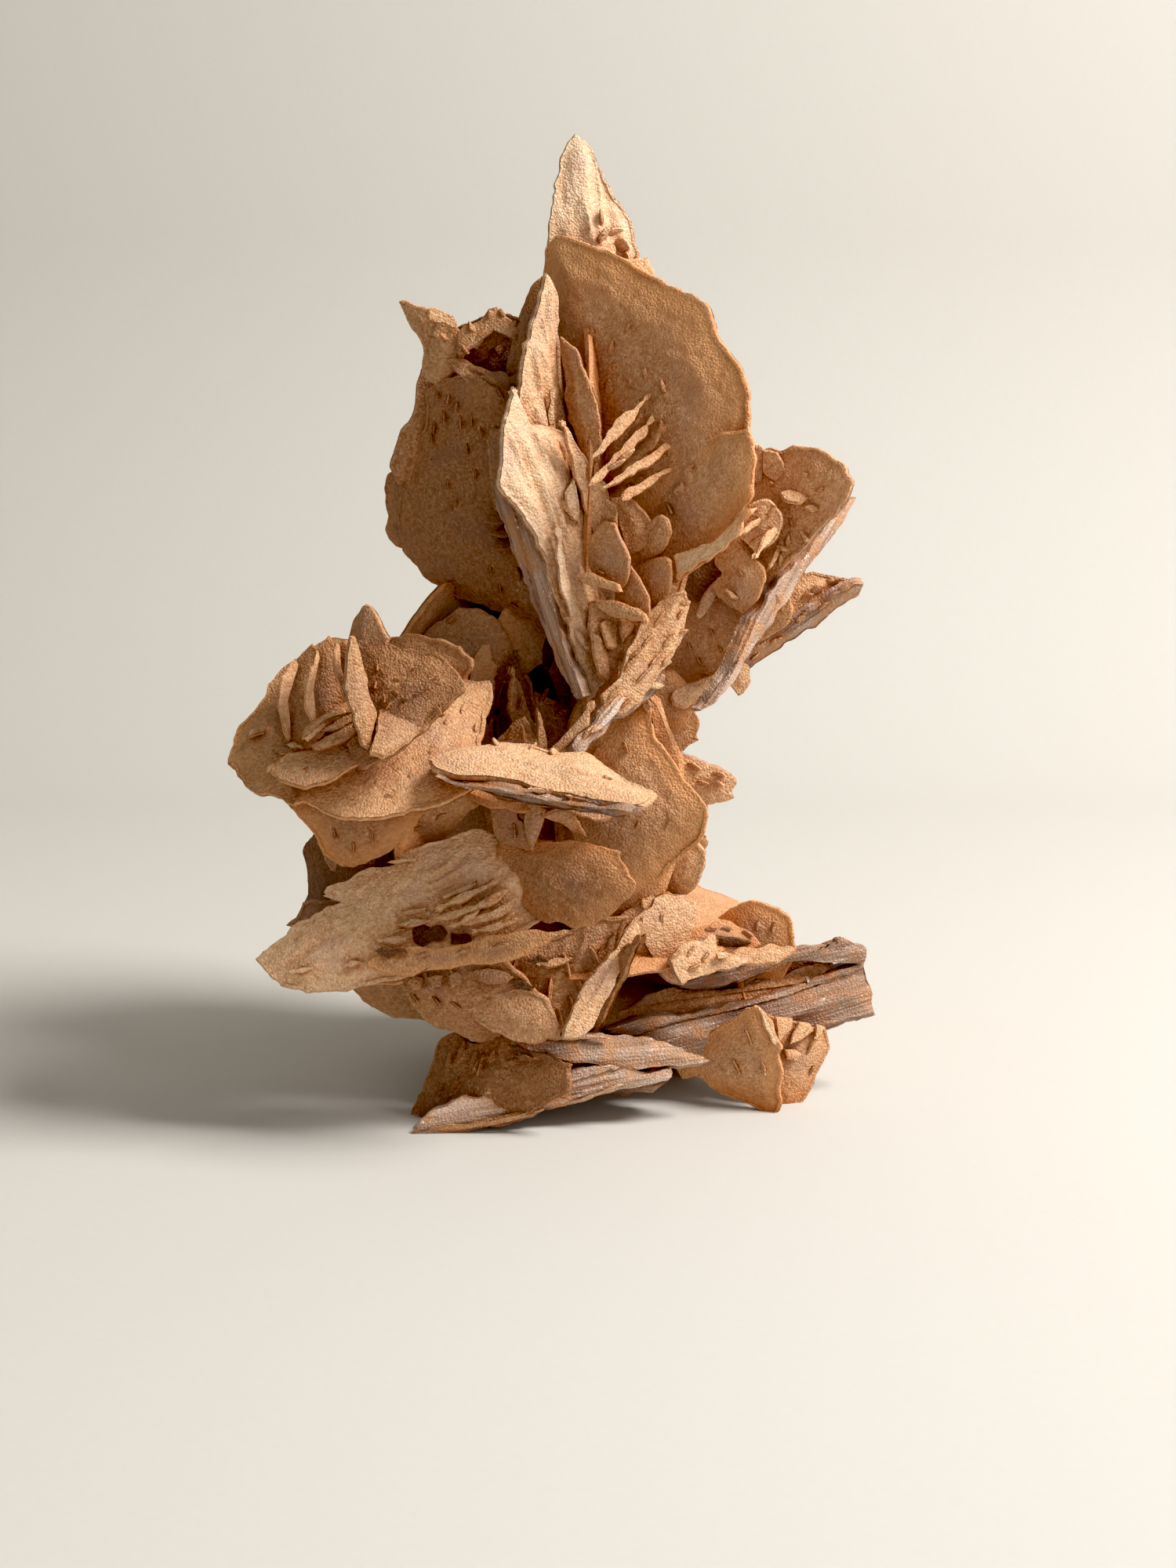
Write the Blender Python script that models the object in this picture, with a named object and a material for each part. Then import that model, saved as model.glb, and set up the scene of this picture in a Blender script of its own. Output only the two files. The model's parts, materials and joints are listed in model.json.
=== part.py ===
"""Gypsum sand rose: a cluster of sand-filled gypsum blades that grew together into one piece.

Standalone Blender 4.5 script.  Blender units are metres and +Z is up; blade sizes are in millimetres.

The blades of the front are drawn on an upright board through the middle of the rose.  Every drawn point
is carried along its sight line, from a fixed eye point in front of the board, onto the plane in which
the blade grew.  The blades of the back and of the heart are plain leaf shapes, placed by their centres.
"""
import math
from collections import namedtuple

import bmesh
import bpy
from mathutils import Vector

# Driving dimensions, in millimetres
MM = 0.001
EYE = Vector((0.0, -394.0, 124.0))
GROUND_BLOCK = 400.0

# Cross-section of a blade: (part of the outline, part of the half thickness) from rim to middle
THIN = ((1.0, 0.0),)
SHARP = ((1.0, 0.0), (0.7, 0.72))
BROKEN = ((1.0, 0.62), (0.62, 0.9))
FLAT = ((1.0, 0.8), (0.75, 1.0))
RINGS = {THIN: 2, SHARP: 4, BROKEN: 5, FLAT: 5}

GYPSUM_COLOUR = (0.46, 0.26, 0.15, 1.0)
GYPSUM_ROUGHNESS = 0.75

# turn: bearing of the face, 0 towards the front, + to the right.  tilt: + faces upwards.
# deep: distance of the blade's middle behind the board.  thick: thickness in the middle.
Blade = namedtuple("Blade", "name turn tilt deep thick rim outline")
# A leaf has its centre, its size along and across, and its roll about its own face.
Leaf = namedtuple("Leaf", "name turn tilt centre length width roll thick")
LEAF_POINTS = 10
HEART_POINTS = 8

CROWN = [
    Blade("spire", 12, 8, 24, 9, SHARP,
          [(-2, 156), (0, 154.5), (1.5, 151.5), (4, 147.5), (6.5, 142.5), (8, 137), (9.5, 130), (6, 120),
           (-3, 120), (-6.5, 130), (-6, 140), (-5.6, 145.5), (-4.5, 151.5)]),
    Blade("spire_nub", 20, 0, 18, 4, THIN,
          [(9.3, 137.5), (10.5, 135), (8, 131), (3, 132), (3, 137)]),
    Blade("spire_rosette", -20, 10, 19, 3, THIN,
          [(1, 141), (4, 143), (7, 141.5), (8, 138), (5, 135), (1, 137)]),
    Blade("great_disc", -32, 6, 8, 7, SHARP,
          [(-7, 136), (-6.3, 139), (-4.5, 140.7), (0, 139.5), (6, 136.7), (12, 133.7), (16, 132),
           (19.2, 129), (20.2, 125), (24, 120), (25.2, 115.5), (24, 108), (19, 102), (10, 99), (1, 103),
           (-5, 113), (-8, 125)]),
    Blade("lower_lobe", -35, 0, 1.5, 6, SHARP,
          [(25, 113.5), (25.8, 109), (26.7, 103.5), (26.2, 100), (24.5, 97), (23.3, 94.5), (20, 91.5),
           (17, 89.3), (14, 86.5), (10, 88), (8, 96), (10, 106), (17, 113)]),
    Blade("front_blade_upper", 42, 8, 11, 6, BROKEN,
          [(-6.8, 134.8), (-8.3, 131), (-9.3, 126), (-10.2, 121), (-11.5, 117), (-11, 108), (-6, 100),
           (0, 102), (-0.6, 109.5), (-2.5, 118), (-4, 127), (-5.5, 133)]),
    Blade("front_blade_lower", 40, 14, 2, 7, BROKEN,
          [(-11.5, 117.5), (-13, 114), (-13.6, 109), (-13.8, 103), (-13.3, 98.5), (-11.8, 94.5),
           (-8.7, 88.5), (-5.6, 81), (-3, 75), (-0.5, 69.5), (1.2, 67.7), (3.7, 73.5), (3.5, 80),
           (3.5, 90), (2, 100), (-1, 109), (-5, 116)]),
    Blade("valley_leaf_dark", -25, 4, 6, 3, THIN,
          [(-3.5, 126), (-1.5, 122), (0, 119.5), (1.3, 115), (2.1, 110), (1.5, 106), (-1, 107),
           (-2.7, 113), (-3.2, 120)]),
    Blade("valley_leaf_light", 30, 5, 3, 5, THIN,
          [(-4.2, 111.8), (-1.5, 110), (0.8, 106.5), (2.8, 103), (3.2, 98), (3.5, 94), (1.5, 95.5),
           (-1, 100.5), (-2.8, 106)]),
    Blade("valley_spike_1", -20, 0, 6, 3, THIN, [(2, 106.5), (9, 115.8), (5, 113.5), (0.5, 110.5)]),
    Blade("valley_spike_2", -20, 0, 4, 3, THIN, [(1, 102), (10, 113.3), (5, 109.7), (0.5, 106)]),
    Blade("valley_spike_3", -20, 0, 4, 3, THIN, [(2, 101), (13.5, 109.3), (8, 107.2), (1, 105)]),
    Blade("disc_ledge", -28, 0, 4.5, 4, THIN,
          [(12.5, 108), (14.3, 106), (13.5, 102.7), (11.3, 100.3), (8, 99), (5, 103), (8, 107)]),
]

NEST = [
    Blade("nest_disc", -15, 0, -1, 4, THIN,
          [(4, 100.3), (7, 100.4), (9.8, 98), (10.1, 95.5), (9.3, 93), (7, 91.3), (5.5, 93.5), (4.5, 97)]),
    Blade("nest_crescent", -20, 0, 1, 4, THIN,
          [(11.5, 98), (13, 96.3), (13.1, 93.5), (11.5, 91), (8, 89.2), (6, 91), (7, 96)]),
    Blade("nest_right", -15, 0, -1.5, 4, THIN,
          [(7.2, 90), (10.5, 91), (12.4, 91.2), (13.3, 89), (13.2, 85.5), (11.5, 83), (9.5, 83), (7.5, 86)]),
    Blade("nest_left", 20, 0, -2.5, 4, THIN,
          [(3.3, 96.5), (5.2, 94), (7, 90.3), (6.2, 86.3), (4.5, 85.3), (0.5, 86), (0, 90.5)]),
    Blade("nest_low", -5, 0, -4, 4, THIN,
          [(7, 90.3), (8.5, 86.5), (10, 83.2), (9.8, 81.2), (8.5, 80.8), (5, 82), (1.5, 83.5), (3, 88)]),
]

LEFT_DISC = [
    Blade("dark_disc", -35, -4, 17, 8, SHARP,
          [(-24.5, 118), (-26.5, 111.5), (-28.8, 107), (-30, 101), (-29.7, 95), (-28, 91), (-24.5, 87),
           (-20, 84), (-14, 82), (-8, 81.5), (-5, 90), (-6, 104), (-11, 115), (-18, 120)]),
    Blade("dark_disc_wall", -50, 0, 31, 8, BROKEN,
          [(-25.5, 123), (-27.2, 116.5), (-29, 111), (-31.2, 106.5), (-31.7, 101), (-31.6, 95),
           (-30, 92.5), (-26, 92), (-22, 100), (-22, 114)]),
    Blade("left_horn", -20, 0, 18, 6, THIN,
          [(-29.5, 130.9), (-26, 130), (-22, 129.2), (-20, 126.8), (-18, 121), (-22, 115), (-26.2, 118),
           (-26.3, 123), (-27.3, 127)]),
    Blade("left_knob", -10, 0, 15, 9, BROKEN,
          [(-19.6, 126.8), (-17, 128), (-14.3, 130), (-12.8, 128.6), (-10.8, 127.2), (-11, 121),
           (-13, 115), (-18.5, 116), (-20.5, 122)]),
    Blade("neck_knob", 0, 0, 13, 7, BROKEN,
          [(-10.8, 127), (-9.8, 128.8), (-8.4, 129.3), (-7.5, 124), (-9, 117), (-12.5, 118)]),
    Blade("disc_beam", 20, 20, 12, 5, BROKEN,
          [(-20.7, 119.3), (-19.3, 120.7), (-12, 113.3), (-13.5, 111.3)]),
    Blade("disc_rib", 45, 0, 10, 6, THIN,
          [(-15.8, 111), (-14, 112), (-12.6, 98.5), (-14.3, 97)]),
    Blade("disc_chip", 10, 0, 8, 4, THIN,
          [(-13, 92.5), (-11, 91.5), (-8, 86), (-8, 82.5), (-11, 84.5), (-13, 88)]),
]

RIGHT_WING = [
    Blade("wing", -38, 4, 10, 7, BROKEN,
          [(26.5, 108), (30, 107.6), (34, 108.3), (37, 107.6), (39.5, 106), (41.5, 103), (41.3, 99),
           (39.5, 95.5), (36, 91), (33, 87.5), (30, 82.5), (27, 78.5), (23, 73.5), (19.5, 68), (13, 68),
           (3, 76), (3, 90), (14, 101)]),
    Blade("wing_lap", -30, 0, 6, 5, THIN,
          [(23.2, 94.5), (25.5, 92), (27.3, 88.5), (27.4, 84.5), (26, 81), (20, 80), (11, 83), (11, 92)]),
    Blade("wing_button", -10, 0, 4, 5, THIN,
          [(26.3, 99.7), (28, 100), (29.8, 98.8), (30.7, 96.5), (29, 93), (25, 93), (23.5, 97)]),
    Blade("wing_tongue", 10, 20, 11, 7, THIN,
          [(12.9, 67.8), (14, 70.5), (17, 72.4), (20.5, 73.5), (22, 70), (17.5, 67.3), (14.5, 66.6)]),
    Blade("wing_chip_low", -5, 0, 10, 5, THIN,
          [(11.2, 65), (12.5, 63.5), (14.3, 62.7), (16, 64.2), (19, 67.5), (14, 73), (2, 73), (2, 66)]),
    Blade("wing_chip_back", 0, 0, 14, 4, THIN,
          [(17, 67.5), (18.3, 64), (17.6, 62.3), (18, 61.3), (16, 59.5), (10, 58), (8, 66), (12, 70)]),
    Blade("far_horn", -15, 0, 17, 6, THIN,
          [(43.4, 86.8), (41, 87.6), (38, 88.1), (33, 88.5), (23, 88), (14, 78), (20, 71), (27, 73.5),
           (30, 76), (33, 78.5), (36, 80), (40, 82.8), (43, 85.3)]),
    Blade("far_diamond", 0, 0, 16, 5, THIN,
          [(22, 71), (24.2, 68.6), (25.7, 71.2), (25.5, 75), (21, 77)]),
]

WAIST = [
    Blade("curved_leaf", 10, 20, -7, 8, BROKEN,
          [(15.8, 86), (16.3, 84.3), (15.5, 81), (14.7, 77), (12.8, 73.5), (9.8, 69.8), (6, 66.5),
           (3, 63.5), (0, 61), (-3.5, 58.5), (-6.5, 58), (-3, 63), (0.3, 68), (2.5, 73), (4.5, 78),
           (8, 82), (11.5, 85)]),
    Blade("shelf", 3, 62, -20, 5, SHARP,
          [(-26, 57.7), (-20, 59.7), (-14, 60.7), (-9, 60.3), (-4, 59.5), (0, 58.9), (4, 57.2), (8, 54.3),
           (11.3, 52.4), (9.8, 50.4), (6, 50.3), (1, 51), (-5, 52.5), (-11, 53.7), (-18, 54.6), (-23, 56)]),
    Blade("shelf_lower", 3, 60, -18, 4, THIN,
          [(-20, 55), (-10, 57), (2, 55), (9.5, 50.6), (5, 49.2), (2, 48.5), (-2, 49.5), (-6, 50.5),
           (-12, 51.9), (-18, 52.6)]),
    Blade("brown_disc", -12, 4, -5, 7, SHARP,
          [(8.8, 68.5), (10, 66.5), (10.4, 63.5), (12, 61), (14, 58.5), (16.5, 56), (18.5, 53.7),
           (19.5, 50.5), (19.2, 47), (17.5, 44.7), (15, 42.3), (12.8, 41), (11.5, 38.5), (8.5, 37),
           (3, 38), (-2, 44), (-3, 53), (1, 62), (5, 67)]),
    Blade("right_point", 0, 0, 6, 6, THIN,
          [(13, 60), (17, 58.6), (20, 58), (22.3, 56.5), (23.7, 54.5), (23.5, 52.7), (20.5, 51.5),
           (12, 48), (3, 50), (3, 59)]),
    Blade("right_ear", 0, 0, 5, 6, THIN,
          [(17.5, 45.8), (19, 43.5), (19.2, 41), (18, 38.8), (16, 36.3), (10, 33), (2, 38), (4, 47),
           (13, 49)]),
    Blade("jagged_plate", 15, 0, 2, 6, BROKEN,
          [(8.5, 35.5), (12.5, 36.6), (15.5, 36.5), (17.2, 34.8), (17.1, 32), (16, 29.8), (12, 25),
           (6, 26), (4, 32)]),
    Blade("hanging_leaf", 20, 0, -10, 4, THIN,
          [(-15.7, 52.5), (-15.4, 48), (-14.5, 45), (-12, 43.8), (-9.5, 43.5), (-8, 46), (-8, 50),
           (-11, 53)]),
    Blade("hanging_spike", 30, 0, -11, 4, THIN,
          [(-9, 52), (-6.3, 51), (-8, 47), (-9, 43.4), (-10.2, 47)]),
    Blade("hanging_fin", -20, 10, -11, 5, THIN,
          [(-6.5, 52.5), (-2, 50.8), (0.3, 45.8), (-3, 45), (-7, 47)]),
]

HOLLOW = [
    Blade("hollow_back", 10, 0, 26, 5, THIN,
          [(-20.5, 79), (-17, 80.5), (-13, 81.8), (-8, 80.8), (-4, 78), (0, 70), (-2, 60), (-14, 55),
           (-20, 60), (-22, 72)]),
    Blade("hollow_arc", -25, 0, 14, 4, THIN,
          [(-19, 74), (-16.7, 76.5), (-14, 78.2), (-12.2, 77), (-10.5, 73.5), (-9.2, 69), (-9, 62),
           (-12, 56), (-17, 58), (-18.5, 68)]),
    Blade("hollow_spike", 35, 0, 4, 3, THIN,
          [(-11.6, 76.3), (-10, 72), (-9.3, 67), (-8.7, 62), (-9.5, 56), (-12.5, 58), (-12.5, 69)]),
    Blade("hollow_splinter", 20, 0, -6, 2.5, THIN,
          [(-8.1, 66.7), (-7, 64), (-6.2, 60), (-5.5, 56), (-9, 56), (-9, 62)]),
    Blade("hollow_triangle", -15, 0, -2, 4, THIN,
          [(-14, 61.9), (-12, 64.3), (-10.2, 66), (-9, 63.5), (-7.5, 60), (-10, 55), (-15, 57)]),
    Blade("hollow_sill", 20, 10, 6, 4, THIN,
          [(-10, 69.7), (-7, 69), (-4, 67.5), (0, 67), (2, 62), (-4, 56), (-10, 58)]),
]

LEFT_LOBE = [
    Blade("lobe_top", -14, 40, -6, 7, SHARP,
          [(-58.2, 57.3), (-57.3, 60.8), (-54.8, 64.5), (-52, 69.5), (-48.3, 73.8), (-44, 76.8),
           (-39, 78.2), (-32, 78), (-26, 74), (-24, 67), (-26, 63), (-30, 60), (-35, 57.8), (-40, 55.6),
           (-45, 54), (-50.5, 52.2), (-54, 53), (-57, 55)]),
    Blade("lobe_front", -4, 48, -14, 6, SHARP,
          [(-50, 52.3), (-46, 50.8), (-42, 49.1), (-36, 48.7), (-30, 49.6), (-24, 50.5), (-18.5, 52.5),
           (-16, 55.5), (-15.2, 60), (-15, 66), (-15.5, 71), (-22, 71), (-32, 66), (-42, 60), (-49, 55)]),
    Blade("lobe_hood", -20, 30, -12, 8, SHARP,
          [(-36.3, 77.5), (-33, 77.3), (-28, 76.3), (-24.5, 75.2), (-21.3, 72.9), (-19.3, 70.3),
           (-20.6, 68.4), (-23, 66.4), (-26, 63), (-30, 60), (-33, 58.8), (-36, 59), (-38.3, 66),
           (-38, 73)]),
    Blade("lobe_horn", -35, 15, -9, 7, SHARP,
          [(-35.2, 83.4), (-33.5, 82), (-32, 78.8), (-33.5, 72), (-34.5, 64), (-35.3, 59.8), (-36.8, 62),
           (-38.4, 67), (-39, 70), (-38.2, 75), (-37.7, 79.3), (-36.6, 82.3)]),
    Blade("lobe_petal_1", -55, 15, -1, 4, THIN,
          [(-43.3, 77), (-46, 74.7), (-48.7, 71.5), (-49.8, 68), (-49.4, 64.5), (-48, 60.3), (-45, 58),
           (-44, 64), (-43.5, 70)]),
    Blade("lobe_petal_2", -50, 15, -4, 4, THIN,
          [(-41.3, 78), (-43.5, 75.5), (-44.5, 72), (-45.3, 67.5), (-44.2, 64.3), (-41, 60), (-39.5, 66),
           (-40, 74)]),
    Blade("lobe_petal_3", -40, 15, -6, 4, THIN,
          [(-38.2, 78), (-40.2, 77.5), (-40, 73), (-38.8, 69.3), (-37.5, 66), (-37, 75)]),
    Blade("lobe_fold_upper", -10, 45, -8, 5, THIN,
          [(-45.5, 62.3), (-43.8, 64.7), (-41, 66.8), (-37, 68.5), (-35.5, 66.5), (-40, 65), (-44.8, 61.9)]),
    Blade("lobe_fold_lower", -10, 35, -10.5, 5, THIN,
          [(-45.2, 61), (-43.6, 59.7), (-40, 59.5), (-36, 61.5), (-36.5, 63.6), (-41.5, 62.4)]),
    Blade("lobe_back", -25, 0, 1, 7, SHARP,
          [(-32, 78.2), (-27, 78.3), (-23.5, 78), (-20.3, 76.4), (-18.1, 74.3), (-18.5, 72), (-20, 64),
           (-28, 64), (-33, 74)]),
    Blade("lobe_hump", -20, 0, 13, 6, THIN,
          [(-27, 78), (-25, 80), (-22.7, 82.2), (-20, 83.5), (-17.5, 83), (-15.8, 81.5), (-12, 76),
           (-14, 66), (-24, 66)]),
    Blade("lobe_under", -6, -12, -12, 6, SHARP,
          [(-48.6, 51.3), (-46.7, 48.7), (-44.9, 46.2), (-43.2, 43), (-41.5, 41.5), (-39, 40.9),
           (-36, 41.2), (-33, 42.8), (-30.4, 45.3), (-28, 47.8), (-26, 50.3), (-30, 56), (-42, 56)]),
    Blade("lobe_strip", -4, -10, -5, 5, THIN,
          [(-42.5, 39.5), (-39, 39.7), (-31.7, 41.5), (-25.3, 45.5), (-21.5, 47.5), (-18.5, 50),
           (-16.3, 53.5), (-18, 60), (-34, 58), (-43, 48)]),
    Blade("lobe_shade", -50, 0, 2, 5, THIN,
          [(-46.4, 44.2), (-45.6, 41), (-45.2, 37.7), (-46, 35.3), (-48.5, 31), (-44, 28), (-36, 34),
           (-34, 46), (-41, 52), (-45.3, 46.5)]),
]

LOWER_PLATE = [
    Blade("long_plate", -8, 14, -11, 10, SHARP,
          [(-54.3, 26), (-50, 30), (-45, 34), (-41, 38.3), (-36, 40.3), (-30, 43.3), (-24, 45.3),
           (-18, 46.7), (-12, 46), (-6, 43), (-4, 37), (-8, 31), (-14, 28.5), (-24, 25), (-33, 22),
           (-38, 20.3), (-44, 20), (-49.5, 20.5), (-52.5, 23)]),
    Blade("long_plate_lobe", -14, 8, -13, 7, SHARP,
          [(-14, 45), (-6, 45.5), (3, 44.5), (6.2, 41), (7.5, 37.5), (6.3, 34.7), (3.3, 31.3), (-1, 30.3),
           (-5, 30.8), (-8.8, 32.8), (-11.5, 36), (-15, 40)]),
    Blade("lower_lip", -4, 35, -17, 5, SHARP,
          [(-37, 24.8), (-33.5, 23.6), (-29, 22.8), (-24, 23.7), (-18, 24), (-12.8, 25.2), (-9, 26.8),
           (-3, 29.9), (-8, 31), (-18, 30), (-28, 28), (-36, 27)]),
    Blade("under_leaf", -10, -15, 4, 6, THIN,
          [(-38.5, 20.7), (-37, 18.5), (-34.5, 17), (-31, 15.6), (-27, 15), (-20, 14.5), (-14, 22),
           (-24, 30), (-36, 26)]),
    Blade("under_bumps", -8, -8, -6, 8, BROKEN,
          [(-31, 22), (-29.5, 20), (-28.5, 18), (-27, 16), (-25, 14), (-21, 12.8), (-17, 12),
           (-10, 12), (-8, 20), (-14, 27), (-26, 27)]),
    Blade("light_leaf", -12, 14, -10, 6, SHARP,
          [(-19, 17.3), (-17.5, 15), (-15, 13.5), (-11.5, 12), (-8, 11.6), (-5, 12.5), (-5, 17), (-8, 20),
           (-12, 21), (-17, 19.5)]),
    Blade("fluted_wall", -5, 0, -4, 9, BROKEN,
          [(-12, 26), (-4, 30.5), (2, 33), (7, 33), (4.5, 26), (1, 20), (-3, 12), (-10, 11), (-14, 18)]),
    Blade("strut", -25, 8, -9.5, 6, BROKEN,
          [(6, 31.2), (2.6, 26), (-0.8, 20), (-4.1, 12.3), (-1, 11.5), (2, 14.5), (4, 20), (6.4, 24.5),
           (9, 29.5), (9, 32)]),
]

BASE = [
    Blade("left_foot", -35, 25, -8, 6, SHARP,
          [(-29.5, -4), (-28, 1), (-26.7, 6), (-25.5, 11), (-24, 13.5), (-19, 14.5), (-12, 11), (-8, 4),
           (-13, -1), (-20, -3.5), (-25, -4.5)]),
    Blade("base_sill", 5, 10, -3, 16, BROKEN,
          [(-29, -4.6), (-27.5, -1), (-24, 0.8), (-19.5, 2.2), (-15, 3.8), (-9, 5.4), (-3, 7), (2, 7.8),
           (8, 8), (15, 8.3), (20, 8), (17, 7.3), (12, 5.7), (6.4, 3.6), (1.3, 2.2), (-5, 0.4),
           (-10, -1.6), (-16, -3.4), (-22, -4.6)]),
    Blade("base_inner", -10, 10, 5, 7, THIN,
          [(-21, 14), (-8, 15), (6, 12), (8, 5), (-8, 1), (-20, 3)]),
    Blade("base_ledge", 5, 20, -2, 12, BROKEN,
          [(-11.8, 11.8), (-6.4, 12.7), (1.3, 13.1), (9, 12.3), (15.5, 9.8), (20, 8), (13, 6.2), (5, 5.9),
           (-1.3, 7.4), (-6.4, 9.3)]),
    Blade("book_lower", 3, 0, 10, 22, BROKEN,
          [(1.9, 13.8), (5, 16.5), (9, 19.3), (13, 20.7), (20, 22), (28, 24.5), (36, 26), (44.6, 26.5),
           (45.6, 22), (46.9, 16), (40, 14.2), (30, 12), (20, 9.5), (15, 10.3), (8, 12)]),
    Blade("book_upper", 3, 10, 14, 16, BROKEN,
          [(26, 27.2), (30, 26.8), (34, 27), (38, 27.8), (41, 28.2), (44.6, 27.8), (44.9, 24.5),
           (36, 22), (28, 20), (18, 18), (12, 20), (15, 23), (22, 25.5)]),
    Blade("right_foot", -20, -5, 6, 5, SHARP,
          [(27, 17.8), (28.8, 14.2), (30.8, 10.2), (32.2, 6.2), (32.2, 2.8), (31.7, 0), (28.4, 0.6),
           (23.5, 2.3), (19.3, 4), (15, 5.3), (14, 10), (19, 16)]),
    Blade("right_heel", 10, 0, 8, 7, BROKEN,
          [(38.3, 15), (39.4, 11.5), (39.2, 9), (38.3, 6.8), (36.7, 3.5), (35.2, 0.5), (32.5, 0),
           (29, 0.5), (27, 8), (28, 16), (34, 19)]),
    Blade("orange_disc", -12, 0, 12, 5, SHARP,
          [(21, 31.8), (22.5, 33.7), (25, 35), (27.5, 35.3), (30.5, 34.6), (32.4, 33.2), (33.5, 30.5),
           (34.1, 27.5), (32, 22), (22, 21), (18, 27)]),
    Blade("orange_knob", 10, 20, 8, 6, THIN,
          [(17.7, 30.8), (20, 31.8), (23.5, 31.5), (24.7, 30.2), (24, 25), (18, 23), (15, 28)]),
    Blade("pale_plate", 18, 5, 0, 4, FLAT,
          [(8.6, 32), (9, 28.6), (10.8, 25.5), (13, 22.8), (15.5, 20.8), (19, 21.5), (22, 25.5),
           (20.5, 28.8), (18, 31), (14, 34), (10, 34.5)]),
]

BACK = [
    Leaf("back_crown_disc", 205, 6, (1, 35, 120), 40, 32, 15, 7),
    Leaf("back_shoulder_shelf", 190, 58, (-2, 42, 100), 24, 38, 0, 6),
    Leaf("back_left_disc", 225, -8, (-15, 35, 98), 42, 34, -20, 7),
    Leaf("back_right_disc", 150, 10, (13, 37, 92), 40, 30, 25, 7),
    Leaf("back_left_lobe", 235, 25, (-24, 30, 68), 44, 34, 30, 7),
    Leaf("back_lobe_shelf", 175, 62, (-12, 42, 66), 24, 46, 0, 6),
    Leaf("back_right_waist", 140, -12, (4, 38, 58), 38, 28, 0, 7),
    Leaf("back_waist_disc", 170, 15, (-8, 48, 52), 40, 34, 60, 7),
    Leaf("back_low_left", 215, -15, (-22, 34, 42), 42, 34, 20, 7),
    Leaf("back_low_shelf", 185, 55, (-4, 46, 34), 28, 54, 0, 7),
    Leaf("back_low_right", 150, -10, (8, 36, 22), 40, 24, 90, 7),
    Leaf("back_foot", 180, 25, (-4, 40, 11), 30, 36, 0, 9),
    Leaf("back_foot_right", 125, -20, (16, 30, 12), 34, 24, 20, 6),
]

FINS = [
    Leaf("back_crown_blade", 120, -4, (7, 39, 110), 44, 24, 10, 5),
    Leaf("back_middle_blade", 275, 0, (-2, 46, 82), 46, 26, 8, 5),
    Leaf("back_low_blade", 80, 5, (-6, 46, 24), 36, 26, -10, 5),
    Leaf("side_left", 265, 10, (-34, 14, 56), 34, 26, 0, 6),
    Leaf("side_left_low", 250, -10, (-30, 12, 30), 34, 24, 80, 6),
    Leaf("side_right_low", 95, 10, (25, 20, 17), 26, 20, 60, 6),
    Leaf("side_crown", 110, 10, (10, 26, 122), 34, 20, 0, 6),
]

HEART = [
    Leaf("heart_upright", 90, 0, (0, 18, 84), 96, 36, 0, 14),
    Leaf("heart_cross", 30, 0, (-4, 18, 62), 60, 40, 20, 14),
    Leaf("heart_waist", -12, 0, (5, 3, 51), 44, 22, 0, 15),
    Leaf("heart_nest", -10, 0, (8, 7, 91), 24, 18, 0, 21),
    Leaf("hollow_floor", 0, 75, (-9, 0, 57), 32, 28, 0, 7),
    Leaf("heart_left", 60, 10, (-22, 6, 50), 40, 30, 60, 13),
    Leaf("heart_stem", 90, 0, (-2, 20, 42), 60, 42, 0, 14),
    Leaf("heart_low", 0, 80, (-2, 16, 28), 46, 62, 0, 14),
    Leaf("heart_base", 0, 80, (0, 14, 12), 34, 44, 0, 14),
    Leaf("heart_upper", -60, 0, (2, 18, 112), 50, 28, 0, 13),
]


def blade_axes(turn, tilt):
    """Face, sideways and upward directions of a blade's plane."""
    turn = math.radians(turn)
    tilt = math.radians(tilt)
    face = Vector((math.sin(turn) * math.cos(tilt), -math.cos(turn) * math.cos(tilt), math.sin(tilt)))
    side = Vector((math.cos(turn), math.sin(turn), 0.0))
    return face, side, face.cross(side)


def drawn_rim(blade):
    """Carry a blade's drawn outline along the sight lines onto its plane; also give the plane's middle."""
    face = blade_axes(blade.turn, blade.tilt)[0]
    count = len(blade.outline)
    drawn = [Vector((x, 0.0, z)) for x, z in blade.outline]
    drawn_middle = sum(drawn, Vector()) / count
    sight = drawn_middle - EYE
    middle = EYE + sight * ((blade.deep - EYE.y) / sight.y)
    rim = []
    for point in drawn:
        sight = point - EYE
        rim.append(EYE + sight * ((middle - EYE).dot(face) / sight.dot(face)))
    return middle, rim


def leaf_rim(leaf, count):
    """Rim of a leaf: an ellipse with slightly pointed ends."""
    side, up = blade_axes(leaf.turn, leaf.tilt)[1:]
    roll = math.radians(leaf.roll)
    along = up * math.cos(roll) + side * math.sin(roll)
    across = side * math.cos(roll) - up * math.sin(roll)
    middle = Vector(leaf.centre)
    rim = []
    for step in range(count):
        angle = math.tau * step / count
        reach = 0.5 * leaf.length * math.cos(angle)
        spread = 0.5 * leaf.width * math.sin(angle) * (1.0 - 0.12 * math.cos(angle) ** 2)
        rim.append(middle + along * reach + across * spread)
    return middle, rim


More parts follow.
